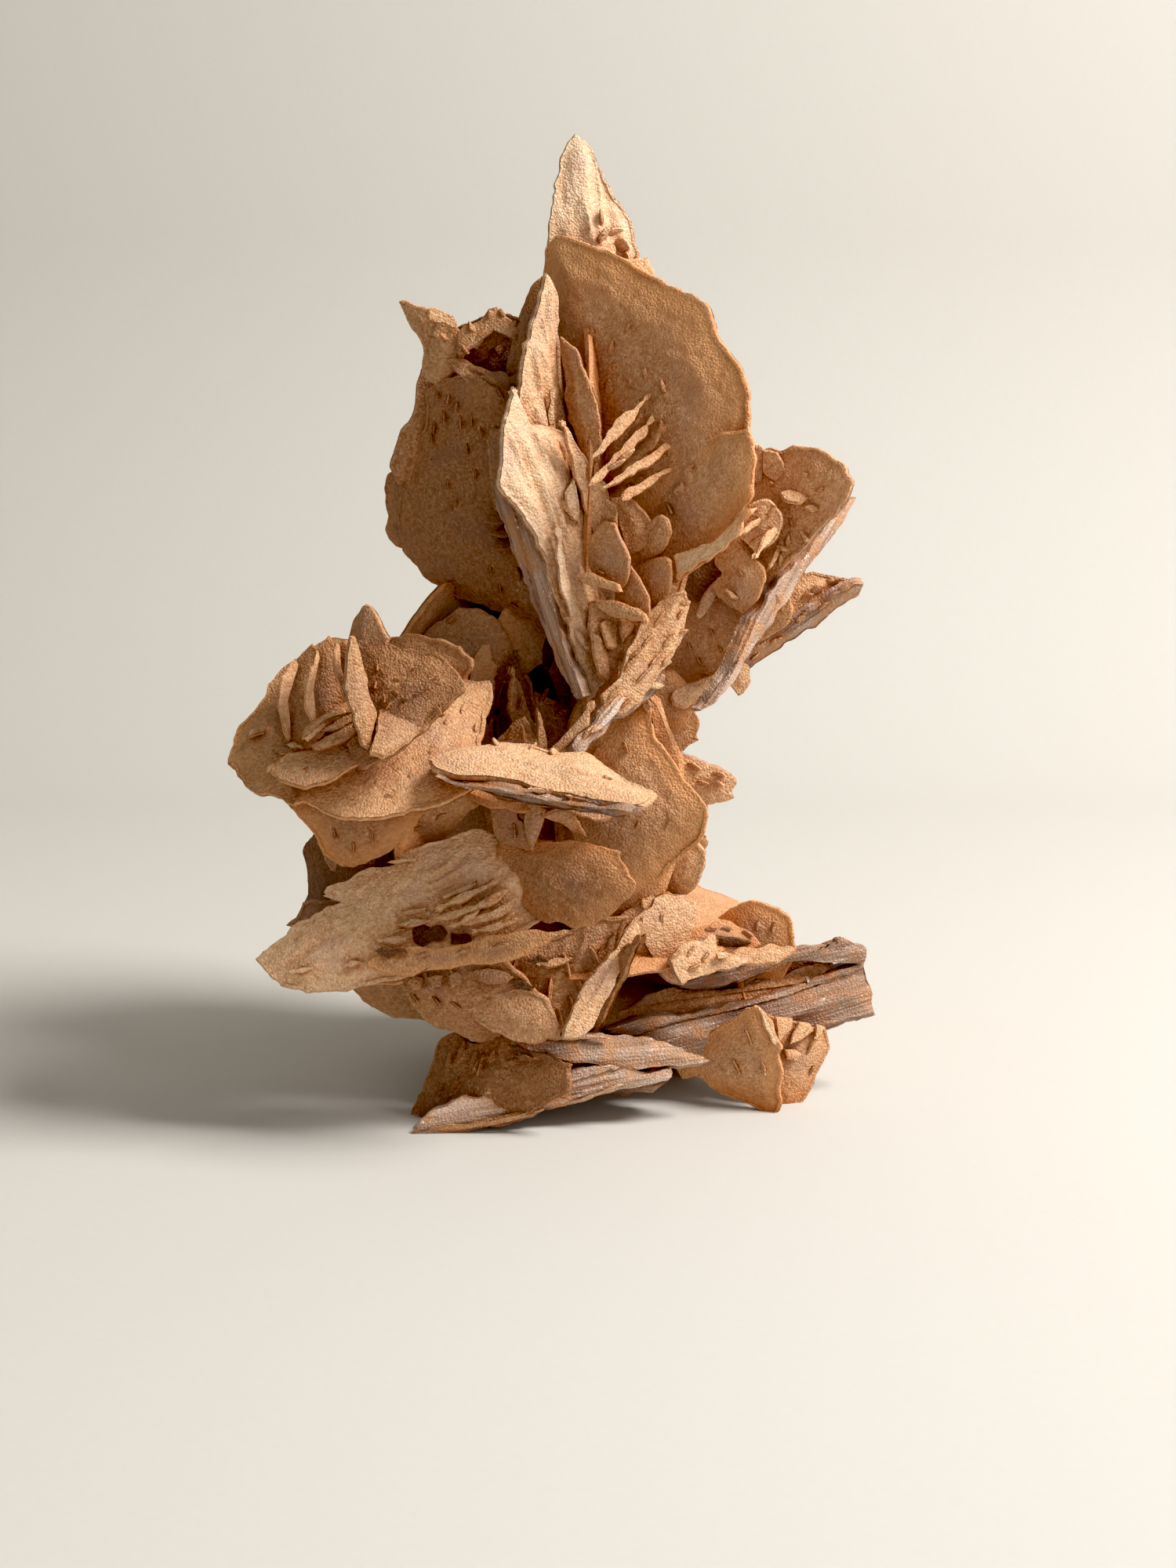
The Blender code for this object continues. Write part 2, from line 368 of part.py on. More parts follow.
def lens_mesh(name, middle, rim, face, thick, profile):
    """A flattened ball whose rings follow the rim: thick in the middle and thin, or broken, at the edge."""
    turning = sum((a.cross(b) for a, b in zip([p - middle for p in rim],
                                              [p - middle for p in rim[1:] + rim[:1]])), Vector())
    if turning.dot(face) < 0.0:
        rim = rim[::-1]
    count = len(rim)
    bm = bmesh.new()
    bmesh.ops.create_uvsphere(bm, u_segments=count, v_segments=RINGS[profile], radius=1.0)
    for vert in bm.verts:
        height = vert.co.z
        radius = math.hypot(vert.co.x, vert.co.y)
        if radius < 0.01:
            reach, rise = 0.0, 1.0
        elif radius > 0.9:
            reach, rise = profile[0]
        else:
            reach, rise = profile[1]
        step = round(math.atan2(vert.co.y, vert.co.x) / math.tau * count) % count
        lift = math.copysign(0.5 * thick * rise, height)
        vert.co = (middle + (rim[step] - middle) * reach + face * lift) * MM
    bmesh.ops.recalc_face_normals(bm, faces=bm.faces)
    mesh = bpy.data.meshes.new(name)
    bm.to_mesh(mesh)
    bm.free()
    return mesh


def add_object(name, mesh, collection):
    """Link a mesh into a collection as a new object."""
    obj = bpy.data.objects.new(name, mesh)
    collection.objects.link(obj)
    return obj


def hide_helper(obj):
    """Mark an object as a construction helper."""
    obj.hide_render = True
    obj.display_type = "WIRE"


def new_collection(name):
    """A fresh collection in the scene."""
    collection = bpy.data.collections.new(name)
    bpy.context.scene.collection.children.link(collection)
    return collection


def build_blades(collection):
    """Every blade as its own closed lens, in the helper collection."""
    for blade in CROWN + NEST + LEFT_DISC + RIGHT_WING + WAIST + HOLLOW + LEFT_LOBE + LOWER_PLATE + BASE:
        face = blade_axes(blade.turn, blade.tilt)[0]
        middle, rim = drawn_rim(blade)
        mesh = lens_mesh(blade.name, middle, rim, face, blade.thick, blade.rim)
        hide_helper(add_object(blade.name, mesh, collection))
    groups = ((BACK, LEAF_POINTS, SHARP), (FINS, LEAF_POINTS, THIN), (HEART, HEART_POINTS, THIN))
    for leaves, count, profile in groups:
        for leaf in leaves:
            face = blade_axes(leaf.turn, leaf.tilt)[0]
            middle, rim = leaf_rim(leaf, count)
            mesh = lens_mesh(leaf.name, middle, rim, face, leaf.thick, profile)
            hide_helper(add_object(leaf.name, mesh, collection))


def ground_block(collection):
    """The block below the resting plane that cuts the feet flat."""
    bm = bmesh.new()
    bmesh.ops.create_cube(bm, size=GROUND_BLOCK * MM)
    bmesh.ops.translate(bm, vec=(0.0, 0.0, -0.5 * GROUND_BLOCK * MM), verts=bm.verts)
    mesh = bpy.data.meshes.new("ground_block")
    bm.to_mesh(mesh)
    bm.free()
    block = add_object("ground_block", mesh, collection)
    hide_helper(block)
    return block


def shell_volume(faces):
    """Signed volume of one closed shell: positive outside skins, negative round sealed hollows."""
    volume = 0.0
    for face in faces:
        first = face.verts[0].co
        for one, two in zip(face.verts[1:], face.verts[2:]):
            volume += first.dot(one.co.cross(two.co)) / 6.0
    return volume


def keep_outer_skin(bm):
    """Fill the sealed hollows between the blades, by removing every shell but the outer one."""
    unseen = set(bm.faces)
    shells = []
    while unseen:
        shell = [unseen.pop()]
        for face in shell:
            for edge in face.edges:
                for other in edge.link_faces:
                    if other in unseen:
                        unseen.discard(other)
                        shell.append(other)
        shells.append(shell)
    shells.sort(key=shell_volume)
    for shell in shells[:-1]:
        if shell_volume(shell) > 0.0:
            raise ValueError("a blade does not touch the rest of the rose")
        bmesh.ops.delete(bm, geom=shell, context="FACES")


def centre_in_plan(bm):
    """Move the rose sideways until the middle of its outline in plan is over the origin."""
    across = [vert.co.x for vert in bm.verts]
    deep = [vert.co.y for vert in bm.verts]
    offset = Vector((min(across) + max(across), min(deep) + max(deep), 0.0)) * -0.5
    bmesh.ops.translate(bm, vec=offset, verts=bm.verts)


def gypsum_material():
    """Sand-filled gypsum, warm brown and dull."""
    material = bpy.data.materials.new("sand_gypsum")
    material.use_nodes = True
    shader = material.node_tree.nodes["Principled BSDF"]
    shader.inputs["Base Color"].default_value = GYPSUM_COLOUR
    shader.inputs["Roughness"].default_value = GYPSUM_ROUGHNESS
    shader.inputs["Metallic"].default_value = 0.0
    return material


def grow_rose(blades, block, collection):
    """Join the blades into one solid, cut it flat to rest on, and centre it over the origin."""
    seed = bpy.data.meshes.new("seed")
    seed_bm = bmesh.new()
    bmesh.ops.create_icosphere(seed_bm, subdivisions=1, radius=6.0 * MM)
    bmesh.ops.translate(seed_bm, vec=(0.0, 18.0 * MM, 60.0 * MM), verts=seed_bm.verts)
    seed_bm.to_mesh(seed)
    seed_bm.free()
    rose = add_object("sand_rose", seed, collection)
    join = rose.modifiers.new("join_blades", "BOOLEAN")
    join.operation = "UNION"
    join.solver = "EXACT"
    join.operand_type = "COLLECTION"
    join.collection = blades
    cut = rose.modifiers.new("flat_feet", "BOOLEAN")
    cut.operation = "DIFFERENCE"
    cut.solver = "EXACT"
    cut.object = block
    depsgraph = bpy.context.evaluated_depsgraph_get()
    joined = bpy.data.meshes.new_from_object(rose.evaluated_get(depsgraph))
    rose.modifiers.clear()
    bm = bmesh.new()
    bm.from_mesh(joined)
    keep_outer_skin(bm)
    centre_in_plan(bm)
    bm.to_mesh(joined)
    bm.free()
    joined.materials.clear()
    joined.materials.append(gypsum_material())
    rose.data = joined
    return rose


def main():
    """Build the sand rose."""
    for obj in list(bpy.data.objects):
        bpy.data.objects.remove(obj, do_unlink=True)
    parts = new_collection("gypsum_sand_rose")
    blades = new_collection("blade_helpers")
    cutters = new_collection("cutters")
    build_blades(blades)
    grow_rose(blades, ground_block(cutters), parts)


if __name__ == "__main__":
    main()
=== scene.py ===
"""Gypsum sand rose: the fine surface of a cluster of sand-filled gypsum blades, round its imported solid.

A Blender 4.5 script laid out as an add-on and run as a script.  Blade sizes are in millimetres.
The blades of the front are drawn on an upright board.  Every drawn point is carried along its sight
line, from a fixed eye point in front of the board, onto the plane in which the blade grew.
"""
import itertools
import json
import math
from collections import namedtuple

import bmesh
import bpy
import numpy as np
from mathutils import Matrix, Vector
from mathutils.bvhtree import BVHTree

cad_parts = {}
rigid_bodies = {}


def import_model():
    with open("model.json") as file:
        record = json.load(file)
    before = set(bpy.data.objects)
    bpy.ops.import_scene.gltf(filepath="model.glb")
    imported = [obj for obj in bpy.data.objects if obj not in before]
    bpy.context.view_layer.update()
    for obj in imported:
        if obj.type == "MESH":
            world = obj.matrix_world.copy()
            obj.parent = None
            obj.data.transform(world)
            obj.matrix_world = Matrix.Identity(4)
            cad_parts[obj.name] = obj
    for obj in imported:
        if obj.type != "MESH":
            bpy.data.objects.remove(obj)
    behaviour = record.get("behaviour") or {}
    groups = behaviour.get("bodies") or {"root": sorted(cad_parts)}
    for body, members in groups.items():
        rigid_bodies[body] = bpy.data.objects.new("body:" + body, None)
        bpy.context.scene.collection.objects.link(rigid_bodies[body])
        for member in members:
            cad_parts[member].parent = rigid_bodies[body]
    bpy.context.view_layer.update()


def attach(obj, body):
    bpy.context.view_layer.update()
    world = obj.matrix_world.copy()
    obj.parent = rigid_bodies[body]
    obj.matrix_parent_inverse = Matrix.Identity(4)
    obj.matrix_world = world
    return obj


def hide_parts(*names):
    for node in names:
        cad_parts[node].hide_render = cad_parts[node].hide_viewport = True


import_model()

bl_info = {
    "name": "Gypsum Sand Rose",
    "version": (1, 0, 0),
    "blender": (4, 5, 0),
    "location": "3D View > Sidebar > Sand Rose",
    "description": "Models the grown and broken surfaces of a gypsum sand rose, and its studio stage",
    "category": "Add Mesh",
}

MM = 0.001
BODY = "root"
NODE = "sand_rose"

# The eye that looks at the drawing board, and where the board's origin stands in the frame
EYE = Vector((0.0, -394.0, 124.0))
BACK_EYE = Vector((0.0, 440.0, 150.0))
BOARD_ORIGIN = Vector((4.235, -16.245, 0.0))

# How a blade's edge ends: worn thin, worn to a narrow rim, broken off to a wall, or broken off thick
THIN, SHARP, BROKEN, FLAT = "thin", "sharp", "broken", "flat"
WALL = {THIN: 0.8, SHARP: 1.3, BROKEN: 3.0, FLAT: 2.4}
WALL_SHARE = 0.6
PLATE_SHARE = {THIN: 0.7, SHARP: 0.8, BROKEN: 0.8, FLAT: 0.9}

# Fine shape: spacings and sizes in millimetres, counts of rings and points, angles in degrees, and shares
SPACING = 0.65
BACK_SPACING = 1.0
HEART_SPACING = 2.4
RIM_STEP = 10
MIN_RIM_STEPS = 20
MAX_RIM_STEPS = 230
RING_STEP = 3
MAX_FACE_RINGS = 27
CURVE_STEPS = 24
LEAF_POINTS = 10
SPROUT_POINTS = 10
SPROUT_SPACING = 0.6
SPROUT_ROOT = 0.9
SCALLOP = 0.55
FULL_SCALLOP_SIZE = 18.0
WAVE, NICK, TOOTH = 4.5, 1.9, 1.0
GROWTH_STEPS = (1.6, 2.0), (4.4, 5.0)
RIM_BULGE = 0.45
FACE_SLOPE = 0.3
RING_CROWDING = 1.35
# Widest band of the rims' honey colour: partly clear gypsum, partly a painted glow of light through the rims
GLOWING_RIM_REACH = 7.0
WARP = 0.45
SHARP_CREASE = 38.0
GROUND_BLOCK = 400.0 * MM
SPROUT_SEED = 7000
CHIP_SEED = 8000
GRAIN = 0.38 * MM
CLUMP = 1.0 * MM
PATCH = 8.0 * MM
# Reach and strength of the shade painted into the nooks between blades
NOOK = 6.0 * MM
NOOK_SHADE_STRENGTH = 0.9
DARKEST = -2.6
GYPSUM_IOR = 1.52

# The paper, in metres, and the camera, whose place in front of the board is in millimetres
PAPER_HALF_WIDTH = 2.2
PAPER_RUN = 1.6
PAPER_RISE = 1.6
PAPER_BEND = 0.16
PAPER_STEPS = 24
CAMERA_PLACE = Vector((0.0, -393.923, 123.96))
CAMERA_LEAN = 80.0
CAMERA_LENS = 57.15
LAMP_WHITE = (1.0, 0.97, 0.94)

Blade = namedtuple("Blade", "name turn tilt deep thick rim outline")
Leaf = namedtuple("Leaf", "name turn tilt centre length width roll thick")

# A small blade that sprouts where the sight line through (x, z) meets the rose: heading is the way it
# points on the board, lift its rise from the face it grew on, and twist 0 lies flat and 90 stands on edge
Sprout = namedtuple("Sprout", "x z heading lift twist length width")

# A small drawn blade that stands proud of whatever its middle's sight line meets
Chip = namedtuple("Chip", "turn tilt proud thick look outline")

# What a blade's surface is like: its tone, which darkens or lightens it, partly as the blade's own colour and
# partly as painted shade and light where it stands shaded or lit; how clear its rim is, its honey band partly clear
# gypsum and partly a painted glow of light through the rim; the relief of its faces, the bearing of that relief in
# the blade's plane (0 sideways, 90 up), and how far its faces are cleaved
Look = namedtuple("Look", "tone band relief bearing cleaved", defaults=("grainy", 0, 0.0))
GROWN = Look(0.0, 0.15)
LEAF_LOOK = Look(-0.3, 0.6)
# Many tones below darken blades that stand in shade and lighten blades in the lamp's light: painted shade and light
# over the blades' own colours
LOOKS = {
    "deep_shade": Look(-2.0, 0.0),
    # Rims of the lobe's petals toned lighter than the petals: painted light where the rims catch the lamp
    "petal_rim": Look(-0.1, 0.4),
    "book_middle": Look(-0.5, 0.3, "striated", 8, 0.5),
    "book_recess": Look(-1.0, 0.4),
    "sill_foot": Look(-0.1, 0.2, "striated", 8, 0.7),
    "pale_front": Look(0.1, 0.0, "smooth"),
    "knob_low": Look(-0.2, 0.4),
    "strut_shade": Look(-1.0, 0.2),
    "long_layer": Look(-0.6, 0.0, "striated", 40, 0.2),
    "lip_ledge": Look(-0.2, 0.4),
    "ripple": Look(0.0, 0.1),
    "nest_left_wedge": Look(-0.2, 0.5),
    "nest_low_wedge": Look(-0.2, 0.5),
    # The pale and glitter chips are lighter than the blades they sit on: partly pale gypsum, partly painted glints
    # and highlights where edges catch the light
    "pale": Look(0.3, 0.0),
    "glitter": Look(0.9, 0.0, "striated", 45, 1.0),
    "honey": Look(0.1, 1.0),
    "spire": Look(0.7, 0.0, "fluted", 95),
    "great_disc": Look(-0.45, 1.0),
    "lower_lobe": Look(-0.3, 1.0),
    "front_blade_upper": Look(0.3, 0.0, "fluted", 95),
    "front_blade_lower": Look(0.6, 0.0, "fluted", 105),
    "front_blade_break": Look(0.0, 0.0, "striated", 111, 0.6),
    "valley_leaf_dark": Look(-0.45, 0.1),
    "valley_spike": Look(-0.3, 0.1),
    "disc_ledge": Look(-0.5, 0.1),
    "honey_edge": Look(0.5, 1.0),
    "nest_disc": Look(-0.4, 0.1),
    "nest_sliver": Look(-0.5, 0.1),
    "nest_crescent": Look(-0.3, 0.3),
    "nest_right": Look(-0.4, 0.3),
    "nest_left": Look(-0.4, 0.3),
    "nest_low": Look(-0.4, 0.3),
    "nest_foot": Look(-0.2, 0.1, "fluted", 100),
    "dark_disc": Look(-1.1, 0.3),
    "dark_disc_wall": Look(-0.7, 0.0, "striated", 80, 0.25),
    "disc_back_plate": Look(-0.7, 0.3),
    "left_horn": Look(-0.35, 0.1, "striated", 70),
    "horn_nugget": Look(-0.2, 0.5),
    "cavity_crest": Look(-0.7, 0.1),
    "cavity_floor": Look(-1.2, 0.0),
    "neck_knob": Look(-0.9, 0.1),
    "disc_beam": Look(-0.6, 0.1),
    "disc_rib": Look(-0.8, 0.2),
    "disc_chip": Look(-0.8, 0.1),
    "wing": Look(-0.15, 0.2),
    "wing_break": Look(0.1, 0.0, "striated", 50, 1.0),
    # Toned near black: painted shade of the gap beside the wing
    "wing_pocket": Look(-1.6, 0.0),
    "wing_chip_low": Look(-0.4, 0.8),
    "wing_chip_back": Look(-0.3, 0.3),
    "far_horn_break": Look(0.0, 0.0, "striated", 40, 1.0),
    "horn_lap": Look(-0.15, 0.1),
    "wing_lap": Look(-0.2, 0.4),
    "far_horn": Look(-0.1, 0.1),
    "curved_leaf": Look(-0.15, 0.0, "fluted", 60, 0.3),
    "leaf_stem": Look(0.15, 0.0, "striated", 45, 1.0),
    "leaf_prong": Look(-0.1, 0.1),
    "leaf_prong_small": Look(-0.4, 0.3),
    "shelf_break": Look(-0.25, 0.2, "striated", 174, 0.6),
    "shelf": Look(0.2, 0.3),
    "shelf_lower": Look(-0.6, 0.2),
    "brown_disc": Look(-0.5, 0.9),
    "hanging_leaf": Look(-0.8, 0.1),
    "hanging_spike": Look(-0.5, 0.1),
    "hanging_fin": Look(-0.7, 0.1),
    # The hollow's blades are toned near black: painted shade of the deep hollow
    "hollow_back": Look(-2.6, 0.0),
    "hollow_shell": Look(-2.1, 0.1),
    "hollow_shell_low": Look(-1.9, 0.1),
    "hollow_wall": Look(-2.6, 0.0),
    "hollow_arc": Look(-1.6, 0.1),
    "hollow_spike": Look(-1.2, 0.1),
    "hollow_splinter": Look(-0.8, 0.1),
    "hollow_triangle": Look(-1.0, 0.1),
    "hollow_sill": Look(-1.4, 0.1),
    "lobe_top": Look(-0.5, 0.4),
    "lobe_hood": Look(-1.1, 0.2),
    "lobe_horn": Look(-0.55, 0.1),
    "horn_facet": Look(-0.5, 0.1),
    "lobe_slope": Look(-0.45, 0.1),
    "lobe_apron": Look(-0.35, 0.3),
    "lobe_fold_upper": Look(-0.5, 0.1),
    "lobe_fold_middle": Look(-0.5, 0.1),
    "lobe_fold_lower": Look(-0.6, 0.1),
    "lobe_front": Look(-0.2, 0.4),
    "lobe_petal": Look(-0.8, 0.5),
    "lobe_back": Look(-0.6, 0.2),
    "lobe_hump": Look(-0.8, 0.2),
    "lobe_under": Look(-0.85, 0.8),
    "lobe_strip": Look(-0.4, 0.3),
    "lobe_shade": Look(-1.6, 0.1),
    "long_plate": Look(0.25, 0.0, "rippled", 30),
    "long_plate_lobe": Look(-1.1, 0.7),
    "lower_lip": Look(-0.7, 0.8),
    "under_leaf": Look(-0.6, 0.3),
    "under_bumps": Look(-0.7, 0.1, "rippled", 20),
    "fluted_wall": Look(-0.5, 0.1, "fluted", 75),
    "light_leaf": Look(-0.4, 0.1),
    "book_lower": Look(-0.35, 0.0, "striated", 12, 0.9),
    "book_upper": Look(-0.25, 0.0, "striated", 12, 0.9),
    "base_sill": Look(0.3, 0.0, "striated", 8, 1.0),
    "base_ledge": Look(0.1, 0.0, "striated", 4, 0.9),
    "base_inner": Look(-1.2, 0.1),
    "left_foot": Look(-1.25, 0.2),
    "right_foot": Look(-0.35, 0.9),
    "right_heel": Look(-0.15, 0.5),
    "orange_disc": Look(-0.3, 1.0),
    "orange_knob": Look(-0.4, 0.8),
    "pale_plate": Look(0.1, 0.0, "smooth"),
    "strut": Look(0.05, 0.0, "fluted", 60),
}

CROWN = [
    Blade("spire", 12, 8, 24, 9, SHARP,
     [(-2, 156), (0, 154.5), (1.5, 151.5), (4, 147.5), (6.5, 142.5), (8, 137), (9.5, 130), (6, 120), (-3, 120),
      (-6.5, 130), (-6, 140), (-5.6, 145.5), (-4.5, 151.5)]),
    Blade("spire_nub", 20, 0, 18, 4, THIN,
     [(9.3, 137.5), (10.5, 135), (8, 131), (3, 132), (3, 137)]),
    Blade("great_disc", -32, 6, 8, 7, SHARP,
     [(-7, 136), (-6.3, 139), (-4.5, 140.7), (0, 139.5), (6, 136.7), (12, 133.7), (16, 132), (19.2, 129),
      (20.2, 125), (24, 120), (25.2, 115.5), (25.4, 109.5), (24, 104), (19, 99), (10, 96), (1, 103), (-5, 113),
      (-8, 125)]),
    Blade("lower_lobe", -35, 0, -0.8, 6, SHARP,
     [(25.2, 111.5), (25.9, 109), (26.7, 103.5), (26.2, 100), (24.5, 97), (23.3, 94.5), (20, 91.5), (17, 89.3),
      (14, 86.5), (10, 88), (8, 96), (10, 104), (17, 109)]),
    Blade("honey_edge", -30, 0, -6, 3, SHARP,
     [(13.4, 91.2), (16.5, 92.4), (20, 93.6), (22.6, 95.4), (23.8, 96.6), (25.2, 98.6), (24.2, 95.4),
      (20.4, 91.4), (17, 89), (14.2, 87)]),
    Blade("front_blade_upper", 42, 8, 8.6, 5, SHARP,
     [(-6.8, 134.8), (-8.3, 131), (-9.5, 126), (-10.6, 121), (-11.6, 116), (-11.8, 109), (-6, 102), (-2, 104),
      (-3, 111), (-4.1, 118), (-4.8, 127), (-5.7, 133)]),
    Blade("front_blade_lower", 38, 14, 1, 6, SHARP,
     [(-11.8, 117.7), (-12.9, 113), (-13.8, 107), (-14, 102), (-11.2, 98.5), (-9, 94.5), (-7.3, 90.5),
      (-5.5, 85.5), (-3.6, 80.5), (-1.6, 74), (0.6, 68.3), (3.7, 72), (4.3, 80), (3.5, 90), (2, 100), (-1, 108),
      (-5, 111), (-9.5, 111.5), (-10.8, 114.5)]),
    Blade("front_blade_break", -38, 0, 0.5, 5, BROKEN,
     [(-14, 102.3), (-13.5, 98.3), (-12.3, 94), (-10.5, 89.8), (-8.5, 85.3), (-7, 81), (-5.4, 77.5), (-3.5, 73),
      (-0.8, 68.6), (0, 68.8), (-1.7, 73), (-3.7, 79.5), (-5.2, 85.5), (-6.4, 90.5), (-8, 94.5), (-10.5, 99),
      (-12.5, 102)]),
    Blade("valley_leaf_dark", -42, 4, 6, 4.5, THIN,
     [(-4.3, 125.5), (-2, 123.5), (-0.4, 120), (1, 116.5), (1.9, 113), (2.1, 110), (1.5, 106), (0.5, 105.5),
      (-2, 110), (-3.3, 114), (-3.8, 120)]),
    Blade("valley_leaf_light", 34, 5, 2.5, 4.5, THIN,
     [(-4.4, 112.5), (-2.9, 111), (-1.4, 108.5), (0.3, 105.4), (1.2, 103.5), (2.8, 103), (3.1, 99), (3.2, 96),
      (3.5, 93.9), (1.4, 94), (-0.6, 98), (-2.1, 103), (-3.4, 108)]),
    Blade("valley_spike_1", 20, 35, -1, 1.4, THIN,
     [(9.6, 116.2), (7.6, 114.8), (4.6, 112), (1.6, 108.3), (0.4, 106.2), (2, 107), (5, 110.2), (8, 113.6)]),
    Blade("valley_spike_2", 20, 35, -2, 1.4, THIN,
     [(11, 113.6), (8.6, 111.6), (5, 107.8), (1.6, 104.2), (0, 102.2), (2.4, 103.5), (5.8, 106.6), (9, 110.2)]),
    Blade("valley_spike_3", 20, 40, -2.4, 1.4, THIN,
     [(14.2, 110), (11.4, 108.4), (7, 105.5), (3.4, 102.8), (2, 101.4), (4.4, 102.1), (8, 104.2), (12, 107)]),
    Blade("valley_spike_4", 20, 40, -2, 1.3, THIN,
     [(14, 105.2), (11.6, 104.6), (8, 102.6), (5.4, 100.8), (5, 99.8), (7.4, 100.6), (10.6, 102.4)]),
    Blade("disc_ledge", -30, 0, 5, 4, THIN,
     [(12.3, 108), (14, 106.6), (14.3, 104.5), (13, 102), (11.4, 99.8), (8, 98), (5, 102), (7, 107)]),
]

NEST = [
    Blade("nest_disc", -12, 0, 0, 4, THIN,
     [(3.4, 100.3), (5, 100.7), (7, 100.1), (8.5, 98.6), (9.9, 96.7), (10.1, 94.5), (9.5, 92.8), (8, 91.3),
      (6.8, 91.2), (5.3, 94.5), (4.3, 98)]),
    Blade("nest_sliver", -40, 0, -2, 3, THIN,
     [(3, 100), (4.2, 99.3), (4.6, 96.5), (4.1, 93), (2, 93), (2, 97)]),
    Blade("nest_crescent", -40, -8, -1, 4, THIN,
     [(11.5, 97.9), (12.6, 97.2), (13.1, 95.3), (12.8, 93.2), (11.5, 91.4), (9.5, 90.1), (6.9, 89.5), (6, 91.5),
      (8.6, 94), (10, 97)]),
    Blade("nest_right", -38, 0, -1.5, 4, THIN,
     [(7.2, 89.4), (9.5, 90.8), (12.3, 91.2), (13.3, 90.3), (13.4, 88), (12.9, 85.4), (11.7, 83.4), (10.3, 82.7),
      (8, 83), (7, 86)]),
    Blade("nest_left", -38, -4, -3.5, 4, THIN,
     [(2.7, 96.9), (4.3, 96.2), (5.4, 93.8), (6.9, 90.8), (6.7, 88), (6, 85.9), (5, 85.1), (2, 86.5), (0.4, 89),
      (0.3, 93.5)]),
    Blade("nest_left_wedge", -30, 5, -5, 3, THIN,
     [(-1.9, 88), (0.5, 88.5), (3, 87.6), (5.2, 86.4), (5.6, 85.1), (2.5, 85.8), (-0.5, 86.7)]),
    Blade("nest_low", -40, -4, -4, 4, THIN,
     [(6.9, 89.9), (8.5, 87.2), (9.9, 84.1), (10, 81.5), (9.4, 80.5), (7.5, 81), (4, 83), (4.5, 86.5)]),
    Blade("nest_low_wedge", -30, 5, -6, 3, THIN,
     [(1, 83.6), (3, 84.3), (6.5, 83.3), (9.3, 81.8), (9.7, 80.5), (6, 81.1), (3, 82)]),
    Blade("nest_foot", 20, 10, -1, 4, THIN,
     [(0, 84), (5, 84), (8, 82.3), (7.4, 79.5), (6, 76.5), (4.5, 72.5), (2, 72), (0, 78)]),
]

CROWN_GROWTHS = [
    Chip(-50, 0, 2.6, 1.8, "valley_leaf_dark", [(8.4, 113.4), (6.2, 111.6), (3.4, 108.4), (2.4, 106), (4.6, 107.6),
         (7, 110.6)]),
    Chip(-50, 0, 2.6, 1.8, "valley_leaf_dark", [(12, 111.4), (9, 108.6), (5.6, 105.2), (5, 103.9), (8, 105.8),
         (11, 109)]),
    Chip(20, 0, 0.8, 2.2, "", [(-5.6, 117.5), (-5.2, 114.5), (-5.4, 111.6), (-6.3, 111.2), (-6.5, 113.5)]),
    Chip(30, 10, 0.7, 2.0, "", [(-4.9, 95.6), (-4.1, 92), (-3.2, 87), (-1.9, 82), (-2.8, 81), (-4.3, 86),
         (-5.2, 91)]),
    Chip(30, 25, 0.9, 2.0, "", [(1.5, 80.5), (3.2, 81.5), (4.3, 79), (4.6, 76), (3, 76.5)]),
    Chip(20, 25, 0.9, 2.0, "", [(4.6, 81.8), (6.3, 82), (7.6, 80.8), (6.6, 78.5), (5.2, 77)]),
    Chip(35, 10, 0.6, 2.0, "", [(0.5, 79), (2, 78.5), (3.4, 73.5), (3.2, 70.5), (1.6, 72)]),
    Chip(30, 0, 0.6, 2.0, "", [(-2.4, 103.5), (-1.5, 99), (-1.3, 96), (-3, 97), (-3.7, 101)]),
    *map(Sprout._make, (
        (3.2, 117, 60, 30, 60, 4, 1.5), (7, 117.5, 100, 25, 70, 2.5, 1), (9, 119, 80, 25, 70, 2.5, 1),
        (12, 117, 110, 25, 70, 3, 1.2), (11.5, 111, 80, 25, 60, 2.5, 1), (5, 106, 40, 35, 60, 4, 1.5),
        (8, 103, 20, 30, 60, 3.5, 1.4), (6.5, 102, -20, 30, 40, 3, 1.6), (3.6, 105, 30, 40, 60, 3.5, 1.4),
        (15.5, 104.5, 20, 20, 40, 3, 1.4), (14.5, 101, 60, 20, 30, 3, 2), (12.5, 99, -30, 25, 40, 3, 1.6),
        (3.5, 123, 70, 20, 50, 3, 1.2), (6, 126, 50, 20, 60, 2.5, 1), (0.5, 125, 60, 25, 60, 3, 1.2),
        (2, 88.5, 10, 25, 50, 2.5, 1.2), (-3.8, 99.5, -60, 25, 50, 4, 1.5), (-3, 105.5, -70, 30, 50, 4.5, 1.4),
        (-4.2, 108.5, -80, 20, 50, 3.5, 1.2), (5, 75.5, -60, 30, 40, 3.5, 1.6), (6.6, 79.3, -20, 30, 30, 2.4, 1.6),
        (0.2, 77.5, -70, 25, 60, 4, 1.3), (2.8, 72.5, -70, 25, 50, 3.5, 1.3), (1.8, 85.2, -80, 25, 50, 3, 1.2),
        (-1.8, 79, -70, 20, 60, 4.5, 1.2), (2, 140, 60, 30, 60, 3.5, 2.4), (3.5, 141, 20, 30, 50, 3.5, 2.2),
        (4.8, 139.5, -40, 35, 40, 3.5, 2.4), (3.2, 138.6, -100, 35, 40, 3, 2.2), (2, 142.8, 100, 20, 60, 3, 1.6),
        (5.8, 137.2, -60, 30, 50, 3, 2),
    )),
]

